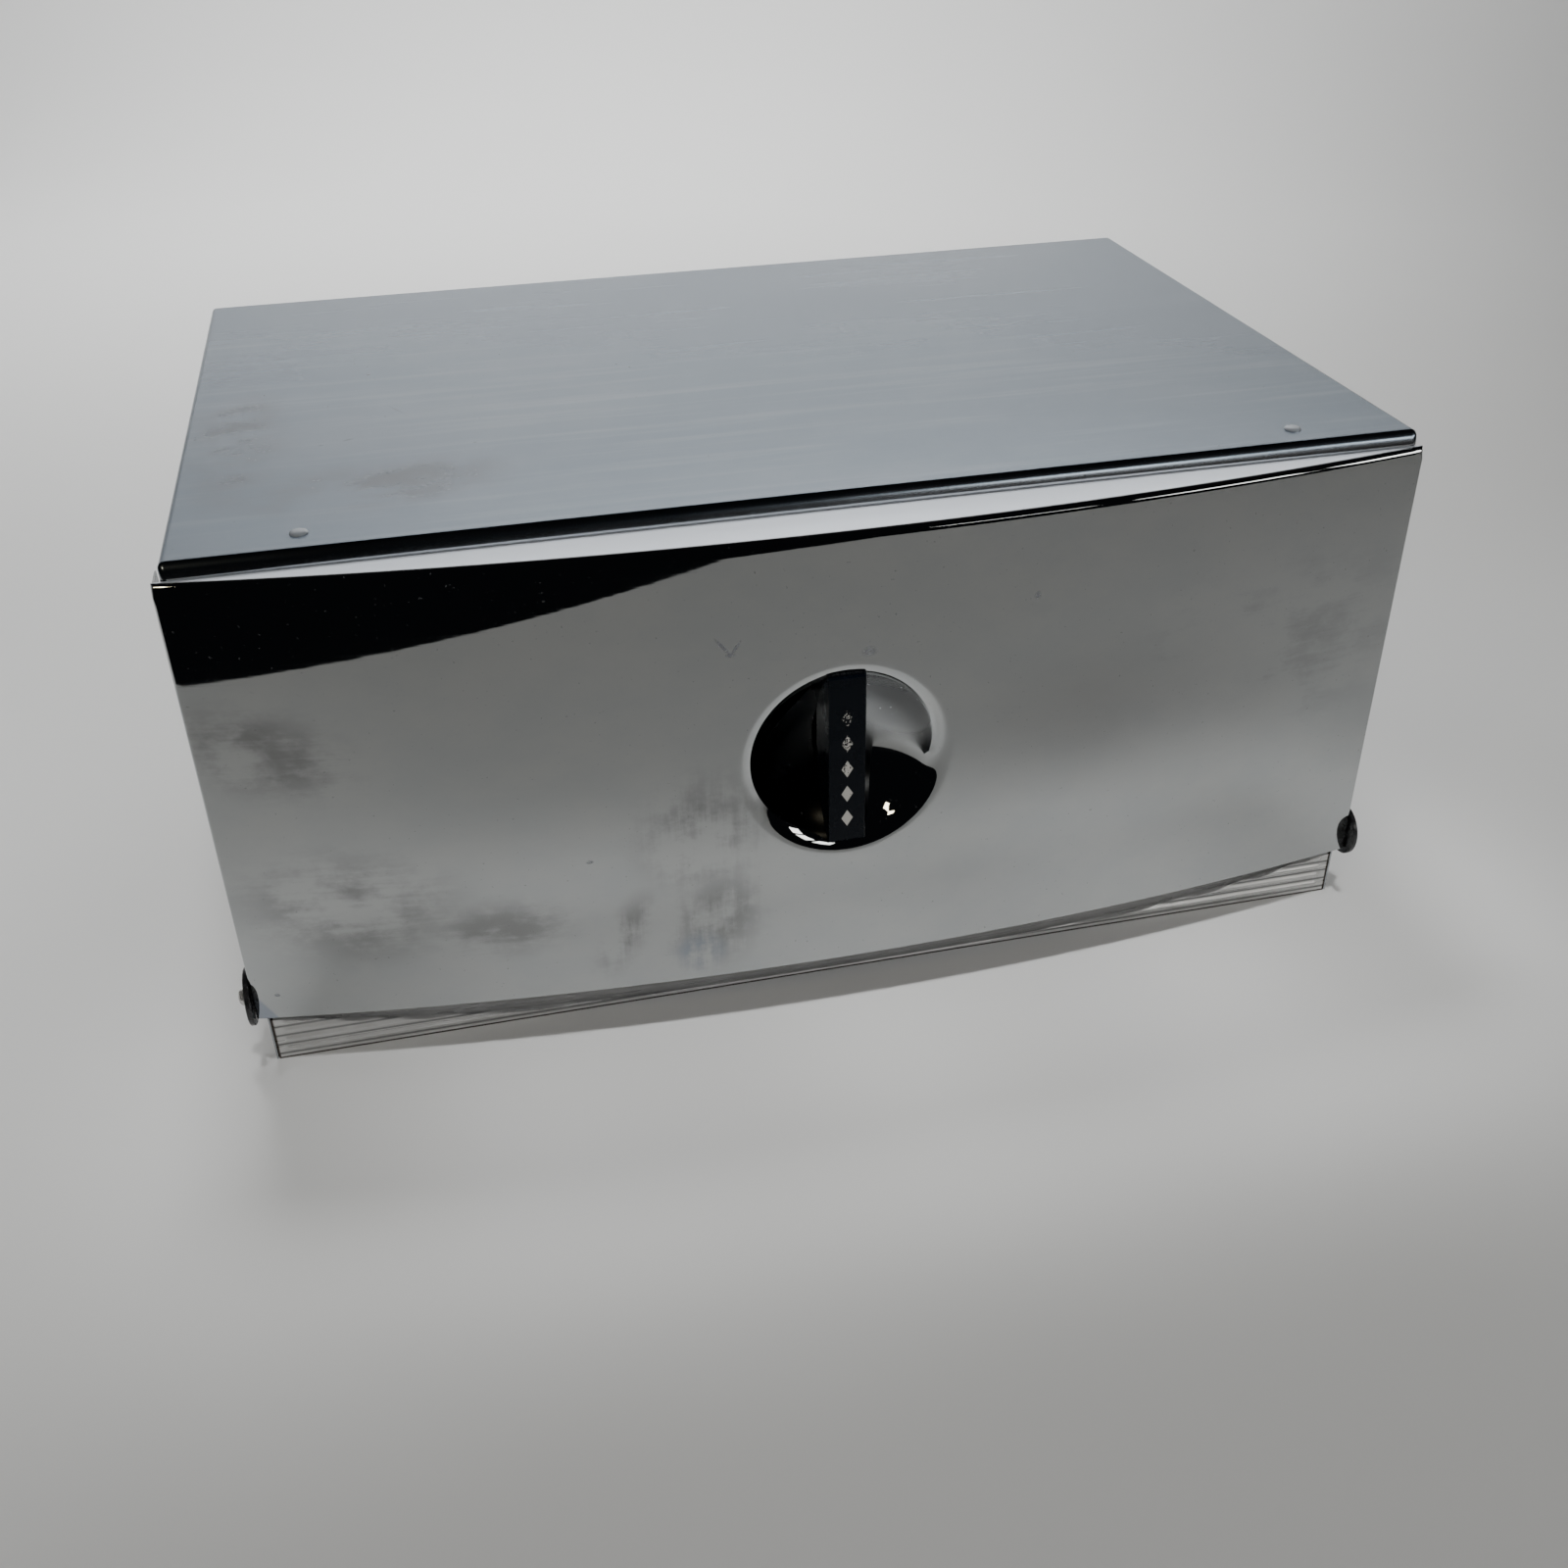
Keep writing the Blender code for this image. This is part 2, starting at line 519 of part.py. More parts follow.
def make_door_panel(material):
    """Bow-fronted pan with flanges outside the case and a pressed finger dish."""
    hinge = (0.0, PIVOT_Y, PIVOT_Z)
    outer = bowed_block(DOOR_HALF, 0.0, DOOR_REAR_Y, DOOR_BOTTOM, DOOR_TOP, DOOR_BEND)
    door = piece("door_panel", outer, material, at=hinge)
    hollow = tool("door_panel_hollow", bowed_block(DOOR_HALF - SHEET, SHEET, DOOR_REAR_Y + 0.01, DOOR_BOTTOM - 0.01,
                                                   DOOR_TOP - SHEET, DOOR_BEND - SHEET))
    combine(hollow, "DIFFERENCE", tool("dish_cup", bowl_solid(SHEET, -SHEET / 4)))
    combine(door, "DIFFERENCE", hollow)
    cut(door, bowl_solid(0.0, 0.01))
    strip_half = HALF_WIDTH - RETURN_WIDTH / 2
    ahead = [(x, bow_y(x, SHEET / 2), DOOR_BOTTOM) for x in stations(strip_half)]
    behind = [(x, y + DOOR_FOOT_FOLD, z) for x, y, z in reversed(ahead)]
    weld(door, extruded(ahead + behind, (0, 0, SHEET)))
    for side in (-1, 1):
        near, far = sorted((side * (FITTED_HALF - FIT_GAP * 3), side * (DOOR_HALF + 0.01)))
        cut(door, block((near, FRONT_Y - DOOR_STAND_OFF / 4, DOOR_TOP - 3 * SHEET),
                        (far, DOOR_REAR_Y + 0.01, DOOR_TOP + SHEET)))
        cut(door, rod(PIVOT_BORE, (side * (DOOR_HALF - 2 * SHEET), PIVOT_Y, PIVOT_Z),
                      (side * (DOOR_HALF + SHEET), PIVOT_Y, PIVOT_Z)))
    for z in screw_heights():
        cut(door, rod(HANDLE_BORE, (0, DOOR_FACE_Y, z), (0, DOOR_FACE_Y + DISH_DEPTH + 0.01, z), 16))
    return door


def make_handle_bar(material):
    """Black grip across the dish, flush with the door, on two feet that meet the bowl."""
    hinge = (0.0, PIVOT_Y, PIVOT_Z)
    half = HANDLE_WIDTH / 2
    reach = DISH_RADIUS - FIT_GAP
    bar = block((-half, DOOR_FACE_Y, DISH_CENTRE - reach), (half, DOOR_FACE_Y + HANDLE_DEPTH, DISH_CENTRE + reach))

    def in_front(edge):
        return all(vert.co.y < DOOR_FACE_Y + 1e-6 for vert in edge.verts)

    round_edges(bar, lambda edge: in_front(edge) and abs(edge.verts[0].co.x - edge.verts[1].co.x) > half,
                HANDLE_END_CHAMFER, 1)
    round_edges(bar, lambda edge: in_front(edge) and abs(edge.verts[0].co.z - edge.verts[1].co.z) > half, 0.0006, 2)
    handle = piece("handle_bar", bar, material, at=hinge)
    foot = HANDLE_FOOT / 2
    for z in screw_heights():
        weld(handle, block((-foot, DOOR_FACE_Y + HANDLE_DEPTH / 2, z - foot),
                           (foot, DOOR_FACE_Y + DISH_DEPTH, z + foot)))
    combine(handle, "INTERSECT", tool("handle_room", bowl_solid(-FIT_GAP, 0.01)))
    for z in screw_heights():
        cut(handle, rod(HANDLE_BORE, (0, DOOR_FACE_Y + HANDLE_FRONT_WALL, z), (0, DOOR_FACE_Y + DISH_DEPTH, z), 16))
    return handle


def make_handle_screw(name, z, material):
    """Round-head screw from inside the door through the dish into the handle's foot."""
    nearest = HANDLE_SCREW_SPACING / 2 - HANDLE_SCREW_HEAD - FIT_GAP
    seat = bowl_depth(nearest, SHEET) + FIT_GAP
    tip = HANDLE_FRONT_WALL + FIT_GAP
    outline = [(0.0, tip), (HANDLE_SCREW_RADIUS, tip), (HANDLE_SCREW_RADIUS, seat)]
    outline += dome(HANDLE_SCREW_HEAD, 0.0018, seat)
    outline[-1] = (0.0, seat + 0.0018)
    screw = piece(name, turned(outline, (0.0, DOOR_FACE_Y, z), (0, 1, 0), 16), material, at=(0.0, PIVOT_Y, PIVOT_Z))
    return screw


# ---- build --------------------------------------------------------------------------------------
clear_scene()
TOOL_FINISH = finish("tool", (1.0, 0.2, 0.1), 0.0, 0.5)
FINISHES = {
    "chrome_case": finish("chrome_case", (0.60, 0.62, 0.64), 1.0, 0.22),
    "chrome_door": finish("chrome_door", (0.62, 0.63, 0.64), 1.0, 0.10),
    "chrome_sill": finish("chrome_sill", (0.62, 0.62, 0.61), 1.0, 0.25),
    "tinned_steel": finish("tinned_steel", (0.52, 0.53, 0.54), 1.0, 0.38),
    "spring_steel": finish("spring_steel", (0.45, 0.46, 0.48), 1.0, 0.30),
    "steel": finish("steel", (0.50, 0.50, 0.50), 1.0, 0.35),
    "black_fibre": finish("black_fibre", (0.015, 0.015, 0.017), 0.0, 0.40),
    "black_plastic": finish("black_plastic", (0.02, 0.025, 0.03), 0.0, 0.35),
}

make_body_shell(FINISHES["chrome_case"])
make_back_panel(FINISHES["tinned_steel"])
make_floor_pan(FINISHES["tinned_steel"])
make_front_sill(FINISHES["chrome_sill"])

hinge_line = bpy.data.objects.new("door_hinge_line", None)
hinge_line.location = (0.0, PIVOT_Y, PIVOT_Z)
bpy.context.scene.collection.objects.link(hinge_line)
door_pieces = [make_door_panel(FINISHES["chrome_door"]), make_handle_bar(FINISHES["black_plastic"])]
for label, height in zip(("lower", "upper"), screw_heights()):
    door_pieces.append(make_handle_screw("handle_screw_" + label, height, FINISHES["steel"]))
bpy.context.view_layer.update()
for thing in door_pieces:
    thing.parent = hinge_line
    thing.matrix_parent_inverse = hinge_line.matrix_world.inverted()

for direction, label in ((-1, "left"), (1, "right")):
    make_pivot(direction, label, FINISHES)
    make_catch("catch_" + label, direction * RIVET_OFFSET, FINISHES["spring_steel"])
    make_catch_rivet("catch_rivet_" + label, direction * RIVET_OFFSET, FINISHES["steel"])
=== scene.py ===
"""Looks of a chrome bread box: bow-fronted drop door with a pressed finger dish, folded case, ribbed sill.

Metres, +Z up, the front faces -Y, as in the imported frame.
"""
import math

import bmesh
import bpy
from mathutils import Matrix, Vector


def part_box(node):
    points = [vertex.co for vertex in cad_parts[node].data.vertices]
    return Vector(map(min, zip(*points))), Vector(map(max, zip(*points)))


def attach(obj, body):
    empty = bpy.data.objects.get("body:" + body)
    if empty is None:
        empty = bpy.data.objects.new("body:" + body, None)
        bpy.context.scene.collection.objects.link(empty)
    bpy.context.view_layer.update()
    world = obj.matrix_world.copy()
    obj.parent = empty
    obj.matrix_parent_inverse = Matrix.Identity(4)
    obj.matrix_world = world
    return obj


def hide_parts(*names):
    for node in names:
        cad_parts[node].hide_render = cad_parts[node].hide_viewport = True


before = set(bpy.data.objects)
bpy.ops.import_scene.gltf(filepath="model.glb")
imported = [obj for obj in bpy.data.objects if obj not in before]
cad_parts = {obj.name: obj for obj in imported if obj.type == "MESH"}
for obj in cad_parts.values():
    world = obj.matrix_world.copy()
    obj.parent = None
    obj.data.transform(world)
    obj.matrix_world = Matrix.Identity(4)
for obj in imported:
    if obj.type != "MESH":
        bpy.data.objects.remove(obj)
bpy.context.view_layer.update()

# ---- sizes shared with the frame ----------------------------------------------------------------
CASE_LOW, CASE_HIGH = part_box("body_shell")
DOOR_LOW, DOOR_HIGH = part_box("door_panel")
BAR_LOW, BAR_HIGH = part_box("handle_bar")
DISC_LOW, DISC_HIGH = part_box("pivot_disc_left")
SILL_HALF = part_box("front_sill")[1].x
RISER_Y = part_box("floor_pan")[0].y

SHEET = 0.0006
SLACK = SHEET / 9              # allowance when edges are picked by their place
TINY = 1e-6                    # places nearer than this are one place
FINEST = 1e-7                  # the same, for cuts and for the folded case
SHARP_ANGLE = math.radians(35.0)

LIP_REACH = 0.0020
FRONT_Y = CASE_LOW.y + LIP_REACH             # front edge of the case sides
DOOR_HALF = DOOR_HIGH.x
DOOR_FACE_Y = DOOR_LOW.y
DOOR_TOP = DOOR_HIGH.z
DOOR_BOTTOM = DOOR_LOW.z
DOOR_BOW = 0.0170
DOOR_END_Y = DOOR_FACE_Y + DOOR_BOW
DOOR_REAR_Y = DOOR_HIGH.y
DOOR_BEND = 0.0028
SIDE_BEND_SHARE = 0.36         # radius of the upright bends, as a share of the top one's
FOOT_FOLD = 0.0030
FOOT_HALF = 0.1990
NOTCH_HALF = 0.2014
NOTCH_DEPTH = 0.0018
NOTCH_Y = FRONT_Y - 0.00055
BOW_RADIUS = (DOOR_HALF ** 2 + DOOR_BOW ** 2) / (2 * DOOR_BOW)

DISH_RADIUS = 0.0330           # where the bowl would meet the face without its rounded lip
DISH_DEPTH = 0.0190
DISH_EDGE = 0.0371             # where the lip starts to leave the face
LIP_ANGLE = math.radians(52.0)
LIP_STEPS = 12
BOWL_STEPS = 22
FLAT_RING = 0.0008             # flat strip kept round the lip
DISH_Z = (DOOR_BOTTOM + DOOR_TOP) / 2
BOWL_RADIUS = (DISH_RADIUS ** 2 + DISH_DEPTH ** 2) / (2 * DISH_DEPTH)
BOWL_AHEAD = BOWL_RADIUS - DISH_DEPTH
BAR_DEPTH = 0.0165
BAR_CHAMFER = 0.0020
BAR_SOFTENING = 0.0005
BAR_GAP = 0.0002               # between the bar's back and the bowl
LOZENGE_PITCH = 0.0098
LOZENGE_DROP = 0.0030          # middle lozenge below the middle of the dish
LOZENGE_HALF_WIDTH = 0.0021
LOZENGE_HALF_HEIGHT = 0.0034

PIVOT_Y = (DISC_LOW.y + DISC_HIGH.y) / 2
PIVOT_Z = (DISC_LOW.z + DISC_HIGH.z) / 2
PIVOT_RISE = PIVOT_Z - DOOR_BOTTOM
SWEEP_CLEARANCE = 0.0008

RIB_PITCH = 0.0040
RIB_WIDTH = 0.0026
RIB_HEIGHT = 0.0008
FIRST_RIB = 0.0042
RIB_END = 0.0036               # plain sheet left at each end of the ribs
RIB_FADE = 0.0016
LEDGE_RIB = 0.0003
SILL_FOLD = 0.0080
RAMP_SHARE = 0.75
RAMP_HALF = 0.195
RISER_GAP = 0.0004


# ---- workshop helpers ---------------------------------------------------------------------------
def shape(name, bm, finish):
    """Turn a bmesh into a smoothly shaded object of one finish."""
    mesh = bpy.data.meshes.new(name)
    bm.to_mesh(mesh)
    bm.free()
    mesh.shade_smooth()
    mesh.materials.append(finish)
    made = bpy.data.objects.new(name, mesh)
    bpy.context.scene.collection.objects.link(made)
    return made


def fit(name, bm, body, finish, replaced):
    """Turn a bmesh into a finished piece that rides on a body of the frame in place of a frame node."""
    made = shape(name, bm, finish)
    made.data.set_sharp_from_angle(angle=SHARP_ANGLE)
    weighted = made.modifiers.new("even_shading", "WEIGHTED_NORMAL")
    weighted.keep_sharp = True
    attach(made, body)
    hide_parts(replaced)


def dress(names, finish):
    """Give carried-over frame nodes a finish."""
    for name in names:
        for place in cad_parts[name].material_slots:
            place.material = finish


def block(size, middle):
    """Start a piece from a rectangular block."""
    bm = bmesh.new()
    bmesh.ops.create_cube(bm, size=1.0)
    bmesh.ops.scale(bm, verts=bm.verts, vec=size)
    bmesh.ops.translate(bm, verts=bm.verts, vec=middle)
    return bm


def round_off(bm, chosen, radius, steps):
    """Bevel the edges that a test picks."""
    bmesh.ops.bevel(bm, geom=[edge for edge in bm.edges if chosen(edge)], offset=radius, segments=steps,
                    affect="EDGES", profile=0.5, material=-1, clamp_overlap=False)


def slice_at(bm, points, normal):
    """Cut the whole shape along parallel planes."""
    for point in points:
        bmesh.ops.bisect_plane(bm, geom=bm.verts[:] + bm.edges[:] + bm.faces[:], dist=FINEST,
                               plane_co=point, plane_no=normal)


def slice_across(bm, places):
    """Cut the whole shape at several places along X."""
    slice_at(bm, [(x, 0, 0) for x in places], (1, 0, 0))


def slice_level(bm, heights):
    """Cut the whole shape at several heights."""
    slice_at(bm, [(0, 0, z) for z in heights], (0, 0, 1))


def slice_upright(bm, depths):
    """Cut the whole shape at several places along Y."""
    slice_at(bm, [(0, y, 0) for y in depths], (0, 1, 0))


def remove_faces(bm, unwanted):
    """Delete the faces that a test on their middles picks."""
    faces = [face for face in bm.faces if unwanted(face.calc_center_median())]
    bmesh.ops.delete(bm, geom=faces, context="FACES")


def open_rear_and_foot(bm):
    """Take away the faces that look back or down."""
    faces = [face for face in bm.faces if face.normal.y > 0.9 or face.normal.z < -0.9]
    bmesh.ops.delete(bm, geom=faces, context="FACES")


def rim_edges(bm, chosen):
    """Open edges whose two ends pass a test."""
    return [edge for edge in bm.edges if edge.is_boundary and all(chosen(vert.co) for vert in edge.verts)]


def grow(bm, edges, shift):
    """Pull a row of edges out into a new strip and return its far edges."""
    grown = bmesh.ops.extrude_edge_only(bm, edges=edges)
    moved = [item for item in grown["geom"] if isinstance(item, bmesh.types.BMVert)]
    bmesh.ops.translate(bm, verts=moved, vec=shift)
    return [item for item in grown["geom"] if isinstance(item, bmesh.types.BMEdge)
            and all(vert in moved for vert in item.verts)]


def spin_round(bm, section, centre, axis, steps):
    """Turn a row of places right round an axis."""
    profile = [bm.verts.new(place) for place in section]
    spine = [bm.edges.new(pair) for pair in zip(profile, profile[1:])]
    bmesh.ops.spin(bm, geom=profile + spine, cent=centre, axis=axis, angle=math.tau, steps=steps,
                   use_merge=True)
    bmesh.ops.remove_doubles(bm, verts=bm.verts, dist=TINY)


def thicken(bm):
    """Face the sheet outwards and give it its wall."""
    bmesh.ops.recalc_face_normals(bm, faces=bm.faces)
    bmesh.ops.solidify(bm, geom=bm.faces[:], thickness=SHEET)


def bow_y(x):
    """Y of the door's curved face."""
    return DOOR_FACE_Y + BOW_RADIUS - math.sqrt(BOW_RADIUS ** 2 - x ** 2)


def from_dish(place):
    """Distance from the dish's middle line."""
    return math.hypot(place.x, place.z - DISH_Z)


# ---- finishes -----------------------------------------------------------------------------------
class Finish:
    """One surface finish, built up from noise, streaks and patches on the piece's own coordinates."""

    def __init__(self, name, metallic, roughness=None):
        self.material = bpy.data.materials.new(name)
        self.material.use_nodes = True
        self.tree = self.material.node_tree
        self.shader = self.tree.nodes["Principled BSDF"]
        self.shader.inputs["Metallic"].default_value = metallic
        if roughness is not None:
            self.shader.inputs["Roughness"].default_value = roughness
        self.place = self.tree.nodes.new("ShaderNodeTexCoord").outputs["Object"]

    def feed(self, socket, value):
        """Link a socket, or set it to a plain value."""
        if isinstance(value, bpy.types.NodeSocket):
            self.tree.links.new(value, socket)
        else:
            socket.default_value = value

    def to_shader(self, socket_name, value):
        """Link something to the surface shader."""
        self.feed(self.shader.inputs[socket_name], value)

    def scaled(self, scale, turn=(0.0, 0.0, 0.0), shift=(0.0, 0.0, 0.0)):
        """The piece's coordinates, stretched, then turned and shifted."""
        node = self.tree.nodes.new("ShaderNodeMapping")
        self.feed(node.inputs["Vector"], self.place)
        node.inputs["Scale"].default_value = scale
        node.inputs["Rotation"].default_value = turn
        node.inputs["Location"].default_value = shift
        return node.outputs["Vector"]

    def noise(self, scale, turn=(0.0, 0.0, 0.0), shift=(0.0, 0.0, 0.0), detail=4.0, rough=0.55):
        """Cloudy noise; scale is cells per metre along each axis."""
        node = self.tree.nodes.new("ShaderNodeTexNoise")
        self.feed(node.inputs["Vector"], self.scaled(scale, turn, shift))
        node.inputs["Scale"].default_value = 1.0
        node.inputs["Detail"].default_value = detail
        node.inputs["Roughness"].default_value = rough
        return node.outputs["Fac"]

    def spread(self, value, low, high, out_low=0.0, out_high=1.0):
        """Stretch the part of a value between low and high over a new range, with soft ends."""
        node = self.tree.nodes.new("ShaderNodeMapRange")
        node.interpolation_type = "SMOOTHSTEP"
        self.feed(node.inputs["Value"], value)
        node.inputs["From Min"].default_value = low
        node.inputs["From Max"].default_value = high
        node.inputs["To Min"].default_value = out_low
        node.inputs["To Max"].default_value = out_high
        return node.outputs["Result"]

    def fading(self, value, low, high):
        """1 below low, 0 above high."""
        return self.spread(value, low, high, 1.0, 0.0)

    def reckon(self, operation, first, second=0.0, third=0.0):
        """One step of arithmetic."""
        node = self.tree.nodes.new("ShaderNodeMath")
        node.operation = operation
        for socket, value in zip(node.inputs, (first, second, third)):
            self.feed(socket, value)
        return node.outputs["Value"]

    def strongest(self, values):
        """The largest of several values."""
        most = values[0]
        for value in values[1:]:
            most = self.reckon("MAXIMUM", most, value)
        return most

    def times(self, *values):
        """Several values multiplied together."""
        product = values[0]
        for value in values[1:]:
            product = self.reckon("MULTIPLY", product, value)
        return product

    def total(self, base, *parts):
        """A base value plus some of each mask, given as (mask, share)."""
        for mask, share in parts:
            base = self.reckon("MULTIPLY_ADD", mask, share, base)
        return base

    def patch(self, centre, reach, turn=(0.0, 0.0, 0.0), core=0.2):
        """Soft-edged oval round a point: 1 in its middle, 0 outside its reach."""
        away = self.tree.nodes.new("ShaderNodeVectorMath")
        away.operation = "SUBTRACT"
        self.feed(away.inputs[0], self.place)
        away.inputs[1].default_value = centre
        squeezed = self.tree.nodes.new("ShaderNodeMapping")
        squeezed.vector_type = "TEXTURE"
        self.feed(squeezed.inputs["Vector"], away.outputs["Vector"])
        squeezed.inputs["Rotation"].default_value = turn
        squeezed.inputs["Scale"].default_value = reach
        length = self.tree.nodes.new("ShaderNodeVectorMath")
        length.operation = "LENGTH"
        self.feed(length.inputs[0], squeezed.outputs["Vector"])
        return self.fading(length.outputs["Value"], core, 1.0)

    def blend(self, amount, first, second):
        """Mix two colours."""
        node = self.tree.nodes.new("ShaderNodeMix")
        node.data_type = "RGBA"
        self.feed(node.inputs[0], amount)
        for socket, value in ((node.inputs[6], first), (node.inputs[7], second)):
            self.feed(socket, value if isinstance(value, bpy.types.NodeSocket) else (*value, 1.0))
        return node.outputs[2]

    def coats(self, base, *coats):
        """Colours laid over a base one after another, each given as (mask, colour)."""
        for mask, colour in coats:
            base = self.blend(mask, base, colour)
        return base

    def along(self, axis):
        """One coordinate of the piece."""
        node = self.tree.nodes.new("ShaderNodeSeparateXYZ")
        self.feed(node.inputs["Vector"], self.place)
        return node.outputs[axis]

    def squared(self, value):
        """A value times itself."""
        return self.reckon("POWER", value, 2.0)

    def relief(self, height, distance, strength=1.0):
        """Fine surface relief."""
        node = self.tree.nodes.new("ShaderNodeBump")
        node.inputs["Strength"].default_value = strength
        node.inputs["Distance"].default_value = distance
        self.feed(node.inputs["Height"], height)
        self.to_shader("Normal", node.outputs["Normal"])


MARK_DEEP = 0.05               # how far a mark reaches through the surface it lies on
SOFT_EDGE = 0.0004             # width over which one finish gives way to another


# ---- finish of the door -------------------------------------------------------------------------
CLEAR_CHROME = (0.455, 0.465, 0.465)
GREY_CHROME = (0.43, 0.445, 0.45)
# Laid on greasy, rubbed and hazed marks, and as painted shade on a patch right of the dish.
SOILED_AND_SHADED_CHROME = (0.255, 0.255, 0.258)
DRIED_SPLASH = (0.20, 0.21, 0.23)
# Laid on a rub low on the door, and as a painted reflection on the lower left corner.
BLUE_STAIN_AND_REFLECTION = (0.27, 0.30, 0.36)
# Painted reflection: the pale colour of the bowl's upper right.
PAINTED_BOWL_REFLECTION = (0.62, 0.64, 0.65)
SATIN_INSIDE = (0.54, 0.55, 0.56)
# Painted light: the top fold's pale colour stands in for the overhead light its satin chrome catches.
PAINTED_FOLD_LIGHT = (0.82, 0.87, 0.94)

# Marks on the door: middle, half width, half height, tilt in degrees.
GREASY = (
    ((-0.168, -0.130, 0.066), 0.050, 0.030, 8.0),
    ((-0.186, -0.128, 0.127), 0.040, 0.022, 20.0),
    ((-0.120, -0.134, 0.052), 0.034, 0.016, 0.0),
)
RUBBED = (
    ((-0.050, -0.140, 0.082), 0.030, 0.032, 14.0),
    ((-0.046, -0.140, 0.046), 0.022, 0.030, 24.0),
    ((-0.078, -0.138, 0.044), 0.010, 0.026, 28.0),
)
HAZED = (
    ((0.150, -0.132, 0.116), 0.085, 0.048, -9.0),
)
SPLASHED = (
    ((-0.0405, -0.139, 0.1517), 0.0047, 0.0008, 52.0),
    ((-0.0363, -0.139, 0.1509), 0.0036, 0.0007, -55.0),
    ((-0.0381, -0.139, 0.1486), 0.0019, 0.0012, 0.0),
    ((0.0640, -0.139, 0.1560), 0.0014, 0.0018, 0.0),
    ((-0.0880, -0.137, 0.0760), 0.0016, 0.0009, 0.0),
    ((-0.1975, -0.125, 0.0310), 0.0012, 0.0009, 0.0),
)
# The blue of the lower left corner is a painted reflection; its edge has this slope and place.
CORNER_SLANT = 0.62            # slope of the blue corner's edge
CORNER_LINE = -0.1862
OUTER_SKIN = 0.00025           # the outside's finish goes this deep into the sheet
INNER_SKIN = 0.00045           # and the inside's begins here


def door_marks(chrome, rows):
    """Where any of several marks on the door's face lies."""
    return chrome.strongest([
        chrome.patch(middle, (half_width, MARK_DEEP, half_height), turn=(0, math.radians(tilt), 0))
        for middle, half_width, half_height, tilt in rows])


def inside_of_door(chrome):
    """The back of the door's sheet, without the dish and the bends."""
    bowed = chrome.times(chrome.squared(chrome.along("X")), 0.5 / BOW_RADIUS)
    behind = chrome.reckon("SUBTRACT", chrome.along("Y"), bowed)
    up = chrome.reckon("SUBTRACT", chrome.along("Z"), DISH_Z)
    out_squared = chrome.reckon("ADD", chrome.squared(chrome.along("X")), chrome.squared(up))
    aside = chrome.reckon("ABSOLUTE", chrome.along("X"))
    return chrome.times(
        chrome.spread(behind, DOOR_FACE_Y + OUTER_SKIN, DOOR_FACE_Y + INNER_SKIN),
        chrome.spread(out_squared, (DISH_EDGE + 0.0010) ** 2, (DISH_EDGE + 0.0010 + SOFT_EDGE) ** 2),
        chrome.fading(aside, DOOR_HALF - DOOR_BEND - SOFT_EDGE, DOOR_HALF - DOOR_BEND),
        chrome.fading(chrome.along("Z"), DOOR_TOP - DOOR_BEND - SOFT_EDGE, DOOR_TOP - DOOR_BEND))


